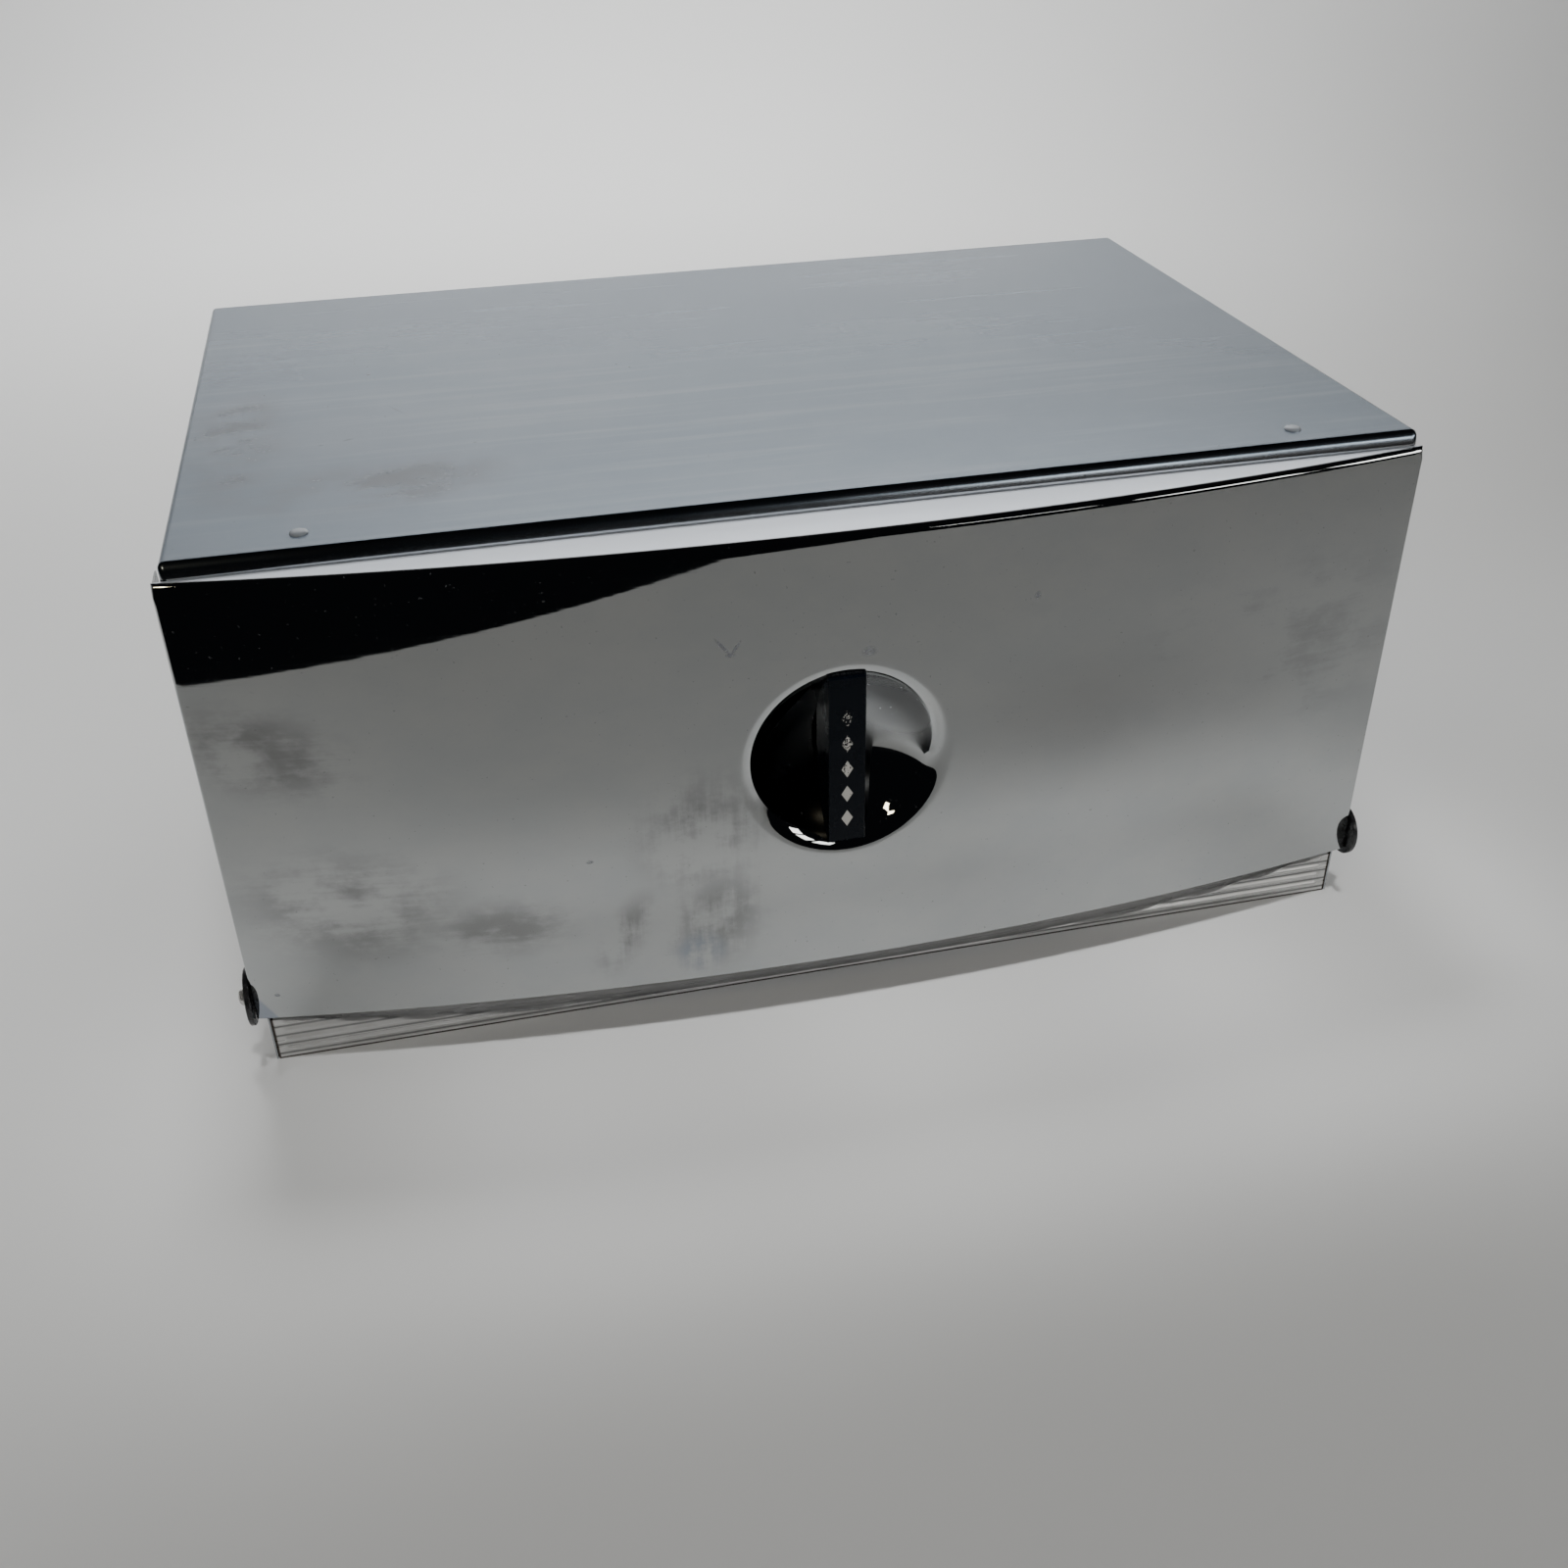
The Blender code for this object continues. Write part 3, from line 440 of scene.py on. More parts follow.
def door_chrome():
    """Polished chrome with wiping haze, greasy smudges, dried splashes and a satin top fold painted pale as
    the light it catches, with painted shade beside the dish and painted reflections in a corner and in the
    bowl.
    """
    chrome = Finish("door_chrome", 1.0)
    cloud = chrome.noise((9.0, 9.0, 14.0), shift=(0.3, 0.0, 0.7), detail=5.0)
    blot = chrome.noise((42.0, 10.0, 60.0), turn=(0, math.radians(4), 0), detail=7.0, rough=0.62)
    wipe = chrome.noise((30.0, 10.0, 420.0), turn=(0, math.radians(3), 0), detail=4.0, rough=0.6)
    rub = chrome.noise((170.0, 10.0, 20.0), turn=(0, math.radians(-16), 0), shift=(2.0, 0, 0), detail=6.0,
                       rough=0.6)
    lines = chrome.noise((7.0, 4.0, 1500.0), turn=(0, math.radians(1.5), 0), detail=2.0)
    grit = chrome.noise((900.0, 900.0, 900.0), detail=3.0)
    smear = chrome.total(0.0, (blot, 0.78), (wipe, 0.22))
    scuff = chrome.total(0.0, (blot, 0.60), (rub, 0.40))

    greasy = chrome.times(door_marks(chrome, GREASY), chrome.spread(smear, 0.40, 0.60))
    rubbed = chrome.times(door_marks(chrome, RUBBED), chrome.spread(scuff, 0.42, 0.58))
    hazed = chrome.times(door_marks(chrome, HAZED), chrome.spread(smear, 0.44, 0.66), 0.55)
    # Painted shade: a soft patch right of the dish darkens the chrome, standing in for a darker reflection
    # there.
    painted_shade_patch = chrome.times(chrome.patch((0.105, -0.136, 0.104), (0.095, MARK_DEEP, 0.046), core=0.0),
                          chrome.spread(cloud, 0.25, 0.75, 0.35, 0.70))
    dirt_and_painted_shade = chrome.strongest([greasy, rubbed, hazed, painted_shade_patch])
    dull = chrome.strongest([dirt_and_painted_shade, chrome.spread(cloud, 0.45, 0.78, 0.0, 0.16)])

    soft_spot = chrome.patch((0.0070, -0.140, 0.1440), (0.0036, MARK_DEEP, 0.0024), core=0.0)
    splash = chrome.times(chrome.strongest([door_marks(chrome, SPLASHED), soft_spot]),
                          chrome.spread(grit, 0.26, 0.46))
    dust = chrome.times(chrome.spread(grit, 0.70, 0.74), 0.30)
    crust = chrome.strongest([splash, dust])

    # Painted reflection: the lower left corner is tinted blue, standing in for what its curve reflects.
    corner = chrome.fading(chrome.total(chrome.along("X"), (chrome.along("Z"), CORNER_SLANT)),
                           CORNER_LINE, CORNER_LINE + 0.0012)
    blue_rub = chrome.times(chrome.patch((-0.0525, -0.140, 0.0330), (0.012, MARK_DEEP, 0.011)),
                            chrome.spread(scuff, 0.44, 0.56))
    blue_rub_and_corner_reflection = chrome.strongest([corner, blue_rub])

    # The top fold is painted pale, nearly white, as the overhead light it catches, which the metal doesn't
    # mirror.
    fold = chrome.spread(chrome.along("Z"), DOOR_TOP - SOFT_EDGE, DOOR_TOP - 0.00012)
    # The bowl's upper right is made rougher and less metallic, and painted pale as a reflection of light.
    sunk = chrome.spread(chrome.along("Y"), DOOR_FACE_Y + 0.0012, DOOR_FACE_Y + 0.0035)
    bowl = chrome.times(sunk, chrome.patch((0.020, DOOR_FACE_Y + 0.012, DISH_Z + 0.016),
                                           (0.026, 0.020, 0.024), core=0.55))
    inside = inside_of_door(chrome)
    fine_lines = chrome.spread(lines, 0.5, 0.8)
    chrome.to_shader("Roughness", chrome.total(
        0.014, (dull, 0.14), (inside, 0.28), (fine_lines, 0.02), (crust, 0.30), (bowl, 0.20), (fold, 0.35)))
    chrome.to_shader("Metallic", chrome.total(
        1.0, (bowl, -0.30), (crust, -0.55), (inside, -0.35), (fold, -0.88)))
    chrome.to_shader("Base Color", chrome.coats(
        chrome.blend(chrome.spread(blot, 0.3, 0.7), CLEAR_CHROME, GREY_CHROME),
        (chrome.times(dirt_and_painted_shade, 0.85), SOILED_AND_SHADED_CHROME),
        (crust, DRIED_SPLASH),
        (chrome.times(blue_rub_and_corner_reflection, 0.75), BLUE_STAIN_AND_REFLECTION),
        (bowl, PAINTED_BOWL_REFLECTION),
        (inside, SATIN_INSIDE),
        (fold, PAINTED_FOLD_LIGHT)))
    chrome.relief(lines, 0.0000005)
    return chrome.material


# ---- finish of the case -------------------------------------------------------------------------
SLATE_CHROME = (0.200, 0.243, 0.296)
LIGHT_SLATE = (0.250, 0.290, 0.340)
PALE_STREAK = (0.35, 0.40, 0.452)
HANDLED_CHROME = (0.205, 0.215, 0.235)
DARK_DUST = (0.16, 0.17, 0.19)
SIDE_CHROME = (0.44, 0.455, 0.475)

# Marks on the top: x, y, half length, half width, tilt in degrees.
TOP_MARKS_Z = 0.192
HAND_MARKS = (
    (-0.140, -0.078, 0.062, 0.026, 7.0),
    (-0.185, -0.030, 0.022, 0.075, 0.0),
)
NICKS = (
    (-0.148, -0.034, 0.0026, 0.0011, 24.0),
    (-0.157, -0.037, 0.0014, 0.0008, 10.0),
    (-0.106, -0.048, 0.0009, 0.0009, 0.0),
    (-0.140, 0.034, 0.0010, 0.0008, 0.0),
    (-0.199, -0.020, 0.0009, 0.0009, 0.0),
    (-0.060, 0.085, 0.0024, 0.0010, 8.0),
)


def top_marks(chrome, rows):
    """Where any of several marks on the top lies."""
    return chrome.strongest([
        chrome.patch((x, y, TOP_MARKS_Z), (half_length, half_width, MARK_DEEP),
                     turn=(0, 0, math.radians(tilt)))
        for x, y, half_length, half_width, tilt in rows])


def case_chrome():
    """Chrome gone blue-grey and dull, brushed from side to side, with hand marks near the front."""
    chrome = Finish("case_chrome", 1.0)
    cloud = chrome.noise((7.0, 10.0, 8.0), detail=6.0, rough=0.6)
    lines = chrome.noise((5.0, 1300.0, 1300.0), turn=(0, 0, math.radians(0.6)), detail=2.0)
    streaks = chrome.noise((9.0, 190.0, 190.0), turn=(0, 0, math.radians(1.0)), shift=(0, 3, 0), detail=4.0)
    smear = chrome.noise((34.0, 60.0, 30.0), turn=(0, 0, math.radians(9)), detail=7.0, rough=0.62)
    grit = chrome.noise((700.0, 700.0, 700.0), detail=3.0)

    hand = chrome.times(top_marks(chrome, HAND_MARKS), chrome.spread(smear, 0.37, 0.63))
    scratch = chrome.patch((-0.131, -0.008, TOP_MARKS_Z), (0.0075, 0.00045, MARK_DEEP),
                           turn=(0, 0, math.radians(-62)), core=0.0)
    nicks = chrome.strongest([scratch, top_marks(chrome, NICKS)])
    dust = chrome.strongest([chrome.spread(grit, 0.71, 0.75), chrome.times(nicks, 0.75)])
    side = chrome.fading(chrome.along("Z"), CASE_HIGH.z - 0.0040, CASE_HIGH.z - 0.0022)
    past_lip = chrome.spread(chrome.along("Y"), CASE_LOW.y + 0.0026, CASE_LOW.y + 0.0042)
    worn = chrome.times(past_lip, chrome.total(1.0, (side, -0.60)))

    chrome.to_shader("Roughness", chrome.total(0.15, (cloud, 0.14), (hand, 0.10)))
    chrome.to_shader("Metallic", chrome.total(1.0, (worn, -0.48)))
    chrome.to_shader("Base Color", chrome.coats(
        chrome.blend(chrome.spread(cloud, 0.35, 0.68), SLATE_CHROME, LIGHT_SLATE),
        (chrome.spread(streaks, 0.48, 0.75, 0.0, 0.30), PALE_STREAK),
        (chrome.times(hand, 0.8), HANDLED_CHROME),
        (dust, DARK_DUST),
        (side, SIDE_CHROME)))
    chrome.relief(lines, 0.000005)
    return chrome.material


# ---- other finishes -----------------------------------------------------------------------------
SATIN_PLATE = (0.50, 0.50, 0.49)
LIGHT_PLATE = (0.57, 0.57, 0.56)
# Painted shade in the grooves between the ribs.
GROOVE_SHADE = (0.10, 0.10, 0.10)
# Dark raw edge at the ends, and painted contact shadow along the foot.
RAW_EDGE_AND_FOOT_SHADOW = (0.045, 0.035, 0.028)


def sill_chrome():
    """Satin plate, dark in the grooves as painted shade, with a painted contact shadow along its foot and a
    dark raw edge at its ends.
    """
    chrome = Finish("sill_chrome", 0.42)
    lines = chrome.noise((8.0, 500.0, 500.0), detail=2.0)
    blot = chrome.noise((60.0, 60.0, 60.0), detail=4.0)
    above_first = chrome.reckon("SUBTRACT", chrome.along("Z"), FIRST_RIB)
    from_rib = chrome.reckon("ABSOLUTE", chrome.reckon("WRAP", above_first, RIB_PITCH / 2, -RIB_PITCH / 2))
    in_front = chrome.fading(chrome.along("Y"), FRONT_Y + 0.0002, FRONT_Y + 0.0010)
    # Painted shade: the grooves between the ribs on the front are darkened.
    painted_groove_shade = chrome.times(chrome.spread(from_rib, RIB_PITCH * 0.33, RIB_PITCH * 0.46), in_front)
    aside = chrome.reckon("ABSOLUTE", chrome.along("X"))
    ends = chrome.spread(aside, SILL_HALF - 0.0009, SILL_HALF - 0.0004)
    # Painted shadow: the foot is darkened as contact shadow; the ends as a dark raw edge.
    foot = chrome.fading(chrome.along("Z"), 0.0004, 0.0009)
    chrome.to_shader("Roughness", chrome.spread(lines, 0.2, 0.8, 0.22, 0.36))
    chrome.to_shader("Base Color", chrome.coats(
        chrome.blend(chrome.spread(blot, 0.3, 0.7), SATIN_PLATE, LIGHT_PLATE),
        (chrome.times(painted_groove_shade, 0.85), GROOVE_SHADE),
        (chrome.strongest([ends, foot]), RAW_EDGE_AND_FOOT_SHADOW)))
    chrome.relief(lines, 0.000003)
    return chrome.material


DARK_SPANGLE = 0.78            # how light the darker spangles of dull sheet are, beside the lighter ones


def dull_sheet(name, colour, roughness, metallic):
    """Tinned or plated sheet with a soft spangle and storage marks."""
    sheet = Finish(name, metallic)
    cloud = sheet.noise((30.0, 30.0, 30.0), detail=5.0)
    grain = sheet.noise((14.0, 600.0, 600.0), detail=2.0)
    sheet.to_shader("Roughness", sheet.total(roughness, (cloud, 0.18)))
    darker = tuple(part * DARK_SPANGLE for part in colour)
    sheet.to_shader("Base Color", sheet.blend(sheet.spread(cloud, 0.35, 0.7), colour, darker))
    sheet.relief(grain, 0.000008)
    return sheet.material


def black_fibre():
    """Hard black fibre, shiny where it has been rubbed."""
    fibre = Finish("black_fibre", 0.0)
    cloud = fibre.noise((300.0, 300.0, 300.0), detail=3.0)
    fibre.to_shader("Roughness", fibre.spread(cloud, 0.3, 0.7, 0.16, 0.34))
    fibre.to_shader("Base Color", fibre.blend(cloud, (0.006, 0.006, 0.007), (0.016, 0.016, 0.017)))
    fibre.relief(cloud, 0.00003)
    return fibre.material


NAVY_BLACK = (0.0010, 0.0022, 0.0042)
LIGHTER_NAVY = (0.0022, 0.0036, 0.0062)
RUBBED_PLASTIC = (0.045, 0.048, 0.050)
OLD_SILVER = (0.42, 0.41, 0.38)


def black_plastic():
    """Moulded navy-black plastic with five silver lozenges down its front, worn away towards the top."""
    plastic = Finish("handle_black", 0.0)
    wear = plastic.noise((1500.0, 1500.0, 1500.0), detail=2.0)
    cloud = plastic.noise((120.0, 120.0, 120.0), detail=4.0)
    fade = plastic.spread(plastic.along("Z"), DISH_Z - 0.020, DISH_Z + 0.022, 0.28, 0.56)
    kept = plastic.spread(plastic.reckon("SUBTRACT", wear, fade), 0.0, 0.05)
    rise = plastic.reckon("SUBTRACT", plastic.along("Z"), DISH_Z - LOZENGE_DROP)
    step = plastic.reckon("ABSOLUTE", plastic.reckon("WRAP", rise, LOZENGE_PITCH / 2, -LOZENGE_PITCH / 2))
    aside = plastic.reckon("ABSOLUTE", plastic.along("X"))
    diamond = plastic.reckon("ADD", plastic.reckon("DIVIDE", aside, LOZENGE_HALF_WIDTH),
                             plastic.reckon("DIVIDE", step, LOZENGE_HALF_HEIGHT))
    inside = plastic.fading(diamond, 0.90, 1.0)
    five = plastic.fading(plastic.reckon("ABSOLUTE", rise), LOZENGE_PITCH * 2.45, LOZENGE_PITCH * 2.5)
    front = plastic.fading(plastic.along("Y"), DOOR_FACE_Y + 0.0002, DOOR_FACE_Y + 0.0004)
    top_end = plastic.spread(plastic.along("Z"), DISH_Z + 0.0322, DISH_Z + 0.0330)
    rubbed = plastic.times(top_end, plastic.spread(wear, 0.40, 0.60, 0.15, 0.8))
    plastic.to_shader("Base Color", plastic.coats(
        plastic.blend(cloud, NAVY_BLACK, LIGHTER_NAVY),
        (rubbed, RUBBED_PLASTIC),
        (plastic.times(inside, five, front, kept), OLD_SILVER)))
    plastic.to_shader("Roughness", plastic.spread(cloud, 0.3, 0.7, 0.22, 0.34))
    plastic.to_shader("Specular IOR Level", 0.12)
    plastic.relief(cloud, 0.00001)
    return plastic.material


# ---- the door -----------------------------------------------------------------------------------
FACE_CELL = 0.003
HOLE_CELLS = 16                # half width of the square that takes the dish, in cells
HOLE_HALF = FACE_CELL * HOLE_CELLS
BEND_STEPS = 8
BAR_STRIP = 0.0025
BAR_CELL = 0.0015


def dish_section():
    """Half section of the dish from the face to its deepest point, as (radius, depth)."""
    lip_start = (DISH_EDGE, 0.0)
    lip_end = (BOWL_RADIUS * math.sin(LIP_ANGLE), BOWL_RADIUS * math.cos(LIP_ANGLE) - BOWL_AHEAD)
    corner = (lip_end[0] + lip_end[1] / math.tan(LIP_ANGLE), 0.0)
    section = [(HOLE_HALF - 2 * FACE_CELL, 0.0), (DISH_EDGE + FLAT_RING, 0.0)]
    for i in range(LIP_STEPS + 1):
        t = i / LIP_STEPS
        section.append(tuple((1 - t) ** 2 * a + 2 * t * (1 - t) * b + t * t * c
                             for a, b, c in zip(lip_start, corner, lip_end)))
    for i in range(1, BOWL_STEPS + 1):
        angle = LIP_ANGLE * (1 - i / BOWL_STEPS)
        section.append((BOWL_RADIUS * math.sin(angle), BOWL_RADIUS * math.cos(angle) - BOWL_AHEAD))
    return section


def dish_depth(radius):
    """Depth of the dish below the door's foremost line at a distance from its middle."""
    section = dish_section()
    for (wide, shallow), (narrow, deep) in zip(section, section[1:]):
        if narrow <= radius <= wide:
            return shallow + (deep - shallow) * (wide - radius) / (wide - narrow)
    return DISH_DEPTH


def tighten_side_bends(bm):
    """Draw the upright bends in to a smaller radius than the top one."""
    for vert in bm.verts:
        inward = DOOR_HALF - abs(vert.co.x)
        back = vert.co.y - DOOR_END_Y
        if inward < DOOR_BEND - TINY and back < DOOR_BEND + TINY and vert.co.z < DOOR_TOP - DOOR_BEND - TINY:
            vert.co.x = math.copysign(DOOR_HALF - inward * SIDE_BEND_SHARE, vert.co.x)
            vert.co.y = DOOR_END_Y + back * SIDE_BEND_SHARE


def let_in_dish(bm):
    """Cut a square out of the flat face, spin the dish in its place and join the two."""
    def off_middle(place):
        return max(abs(place.x), abs(place.z - DISH_Z))

    remove_faces(bm, lambda p: off_middle(p) < HOLE_HALF and p.y < DOOR_END_Y + SHEET)
    hole = rim_edges(bm, lambda p: off_middle(p) < HOLE_HALF + SHEET)
    section = dish_section()
    outer = section[0][0]
    spin_round(bm, [(radius, DOOR_END_Y + deep, DISH_Z) for radius, deep in section],
               (0, 0, DISH_Z), (0, 1, 0), HOLE_CELLS * 8)
    ring = rim_edges(bm, lambda p: abs(from_dish(p) - outer) < 10 * TINY and p.y < DOOR_END_Y + SHEET)
    hole = [edge for edge in hole if edge.is_valid]
    bridged = bmesh.ops.bridge_loops(bm, edges=ring + hole)
    spokes = {edge for face in bridged["faces"] for edge in face.edges if not (edge in ring or edge in hole)}
    bmesh.ops.subdivide_edges(bm, edges=list(spokes), cuts=4, use_grid_fill=True)
    bmesh.ops.recalc_face_normals(bm, faces=bm.faces)


def bow_out(bm):
    """Push everything but the rear edges out to the door's curve."""
    deepest = DOOR_END_Y + DISH_DEPTH + SHEET
    for vert in bm.verts:
        rear = vert.co.y > DOOR_REAR_Y - SHEET and from_dish(vert.co) > HOLE_HALF
        if not rear and vert.co.y < deepest:
            vert.co.y += bow_y(vert.co.x) - DOOR_END_Y


def make_door_skin(finish):
    """Bow-fronted pan: a folded box front, sliced into strips, with the dish let in, then bowed."""
    depth = DOOR_REAR_Y - DOOR_END_Y
    bm = block((2 * DOOR_HALF, depth, DOOR_TOP - DOOR_BOTTOM), (0, DOOR_END_Y + depth / 2, DISH_Z))

    def folded(edge):
        a, b = (vert.co for vert in edge.verts)
        return max(a.y, b.y) < DOOR_END_Y + SHEET and max(a.z, b.z) > DOOR_TOP - SHEET

    round_off(bm, folded, DOOR_BEND, BEND_STEPS)
    open_rear_and_foot(bm)
    columns = int((DOOR_HALF - DOOR_BEND) / FACE_CELL)
    slice_across(bm, [i * FACE_CELL for i in range(-columns, columns + 1)])
    rows = int((DOOR_TOP - DOOR_BEND - DISH_Z) / FACE_CELL)
    slice_level(bm, [DISH_Z + i * FACE_CELL for i in range(-rows, rows + 1)])
    tighten_side_bends(bm)
    let_in_dish(bm)
    bow_out(bm)

    foot = rim_edges(bm, lambda p: abs(p.z - DOOR_BOTTOM) < TINY and abs(p.x) < FOOT_HALF
                     and p.y < bow_y(p.x) + SHEET)
    for reach in (FOOT_FOLD / 2, FOOT_FOLD / 2):
        foot = grow(bm, foot, (0, reach, 0))

    slice_across(bm, (NOTCH_HALF, -NOTCH_HALF))
    slice_level(bm, (DOOR_TOP - NOTCH_DEPTH,))
    slice_upright(bm, (NOTCH_Y,))
    remove_faces(bm, lambda p: abs(p.x) > NOTCH_HALF and p.y > NOTCH_Y and p.z > DOOR_TOP - NOTCH_DEPTH)
    thicken(bm)
    fit("door_skin", bm, "door", finish, "door_panel")


def make_finger_bar(finish):
    """Black grip set on edge across the dish, with chamfered ends and its back fitted to the bowl."""
    length = BAR_HIGH.z - BAR_LOW.z
    bm = block((BAR_HIGH.x - BAR_LOW.x, BAR_DEPTH, length), (0, DOOR_FACE_Y + BAR_DEPTH / 2, DISH_Z))

    def in_front(edge):
        return all(vert.co.y < DOOR_FACE_Y + SHEET / 2 for vert in edge.verts)

    def level(edge):
        return abs(edge.verts[0].co.z - edge.verts[1].co.z) < SHEET

    round_off(bm, lambda edge: in_front(edge) and level(edge), BAR_CHAMFER, 1)
    round_off(bm, lambda edge: in_front(edge) and not level(edge), BAR_SOFTENING, 3)
    slice_across(bm, [i * BAR_STRIP for i in range(-2, 3)])
    slice_level(bm, [DISH_Z + i * BAR_CELL for i in range(-22, 23)])
    for vert in bm.verts:
        if vert.co.y > DOOR_FACE_Y + BAR_DEPTH - SHEET:
            room = dish_depth(from_dish(vert.co)) - BAR_GAP
            to_end = BAR_HIGH.z - DISH_Z - abs(vert.co.z - DISH_Z)
            front = BAR_CHAMFER * max(0.0, 1 - to_end / BAR_CHAMFER)
            vert.co.y = DOOR_FACE_Y + max(front + BAR_GAP, min(BAR_DEPTH, room))
    bmesh.ops.recalc_face_normals(bm, faces=bm.faces)
    fit("finger_bar", bm, "door", finish, "handle_bar")


# ---- the sill -----------------------------------------------------------------------------------
SILL_COLUMNS = 180
FOLD_ROWS = 4
WALL_ROWS = 80
LEDGE_ROWS = 40


def sill_top(x):
    """Height of the sill that the door's lower edge passes over as it swings."""
    reach = math.hypot(bow_y(min(abs(x), DOOR_HALF)) - PIVOT_Y, PIVOT_RISE)
    return PIVOT_Z - reach - SWEEP_CLEARANCE


def rib(along):
    """Rise of the rib nearest a place, as a share of its height."""
    nearest = round((along - FIRST_RIB) / RIB_PITCH)
    off = abs(along - FIRST_RIB - nearest * RIB_PITCH)
    return math.cos(math.pi * off / RIB_WIDTH) if off < RIB_WIDTH / 2 and nearest >= 0 else 0.0


def make_sill(finish):
    """Ribbed strip with a fold under it and a ledge back to the riser, under the door's path."""
    bm = bmesh.new()
    rows = FOLD_ROWS + WALL_ROWS + LEDGE_ROWS
    bmesh.ops.create_grid(bm, x_segments=SILL_COLUMNS, y_segments=rows, size=1.0)
    ledge_depth = RISER_Y - RISER_GAP - FRONT_Y
    for vert in bm.verts:
        x = SILL_HALF * math.sin(vert.co.x * math.pi / 2)
        row = (vert.co.y + 1) / 2 * rows
        from_end = min(1.0, max(0.0, (SILL_HALF - RIB_END - abs(x)) / RIB_FADE))
        swell = math.sqrt(1 - (1 - from_end) ** 2)
        top = sill_top(x) - LEDGE_RIB
        wall = top * (1 - RAMP_SHARE * max(0.0, 1 - (x / RAMP_HALF) ** 2))
        if row <= FOLD_ROWS:
            vert.co = (x, FRONT_Y + SILL_FOLD * (1 - row / FOLD_ROWS), 0.0)
        elif row <= FOLD_ROWS + WALL_ROWS:
            z = wall * (row - FOLD_ROWS) / WALL_ROWS
            vert.co = (x, FRONT_Y - RIB_HEIGHT * rib(z) * swell, z)
        else:
            share = (row - FOLD_ROWS - WALL_ROWS) / LEDGE_ROWS
            back = ledge_depth * share
            z = wall + (top - wall) * share
            vert.co = (x, FRONT_Y + back, z + LEDGE_RIB * rib(back + RIB_PITCH) * swell)
    thicken(bm)
    fit("ribbed_sill", bm, "case", finish, "front_sill")


# ---- the case -----------------------------------------------------------------------------------
CASE_BEND = 0.0022
CASE_FLAT_HALF = CASE_HIGH.x - CASE_BEND
LIP_DROP = 0.0048
LIP_Z = CASE_HIGH.z - LIP_DROP
LIP_ROWS = 6
LIP_LEAN = 0.0017              # the lip's upper part lies this far back
LEAN_CURVE = 1.6
LEAN_EASE = 0.6                # how much less the far side of the top bend leans
HEM_RADIUS = 0.00055
HEM_STEPS = 6
HEM_BACK = 2.2 * HEM_RADIUS
HEM_TURN = 0.0028              # fold back up behind the lip
RETURN_WIDTH = 0.0080
RETURN_LOW = PIVOT_Z + 0.0042
RETURN_HIGH = DOOR_TOP - 0.0031
NOTCH_REACH = 0.0087           # cleared round the pivot for the door's lower corner
NOTCH_TOP = PIVOT_Z - 0.0031


def hem_lip(bm):
    """Roll the lip's lower edge under and turn it up behind the lip."""
    hem = rim_edges(bm, lambda p: abs(p.z - LIP_Z) < TINY and p.y < CASE_LOW.y + CASE_BEND + SHEET
                    and abs(p.x) < CASE_FLAT_HALF + SLACK)
    rolled = bmesh.ops.spin(bm, geom=hem + list({vert for edge in hem for vert in edge.verts}),
                            cent=(0, CASE_LOW.y + HEM_RADIUS, LIP_Z), axis=(1, 0, 0), angle=math.pi,
                            steps=HEM_STEPS)["geom_last"]
    lifted = [vert for vert in bm.verts if vert.co.z < LIP_Z + SHEET and vert.co.y < CASE_LOW.y + HEM_BACK
              and abs(vert.co.x) < CASE_FLAT_HALF + SHEET]
    bmesh.ops.translate(bm, verts=lifted, vec=(0, 0, HEM_RADIUS / 2))
    grow(bm, [item for item in rolled if isinstance(item, bmesh.types.BMEdge)], (0, 0, HEM_TURN))


def lean_lip(bm):
    """Lean the lip back towards the top."""
    for vert in bm.verts:
        back = vert.co.y - CASE_LOW.y
        if back < CASE_BEND + SHEET / 2 and vert.co.z > LIP_Z - SHEET:
            share = max(0.0, min(1.0, (vert.co.z - LIP_Z) / LIP_DROP))
            vert.co.y += LIP_LEAN * share ** LEAN_CURVE * (1 - LEAN_EASE * max(0.0, back / CASE_BEND))


def turn_sides_in(bm):
    """Fold narrow returns behind the door's edges and along the foot of each side."""
    for side in (-1, 1):
        wall = side * CASE_HIGH.x
        front = rim_edges(bm, lambda p: abs(p.x - wall) < TINY and abs(p.y - FRONT_Y) < TINY
                          and RETURN_LOW - SLACK < p.z < RETURN_HIGH + SLACK)
        grow(bm, front, (-side * RETURN_WIDTH, 0, 0))
        foot = rim_edges(bm, lambda p: abs(p.x - wall) < TINY and p.z < SLACK)
        grow(bm, foot, (-side * RETURN_WIDTH, 0, 0))


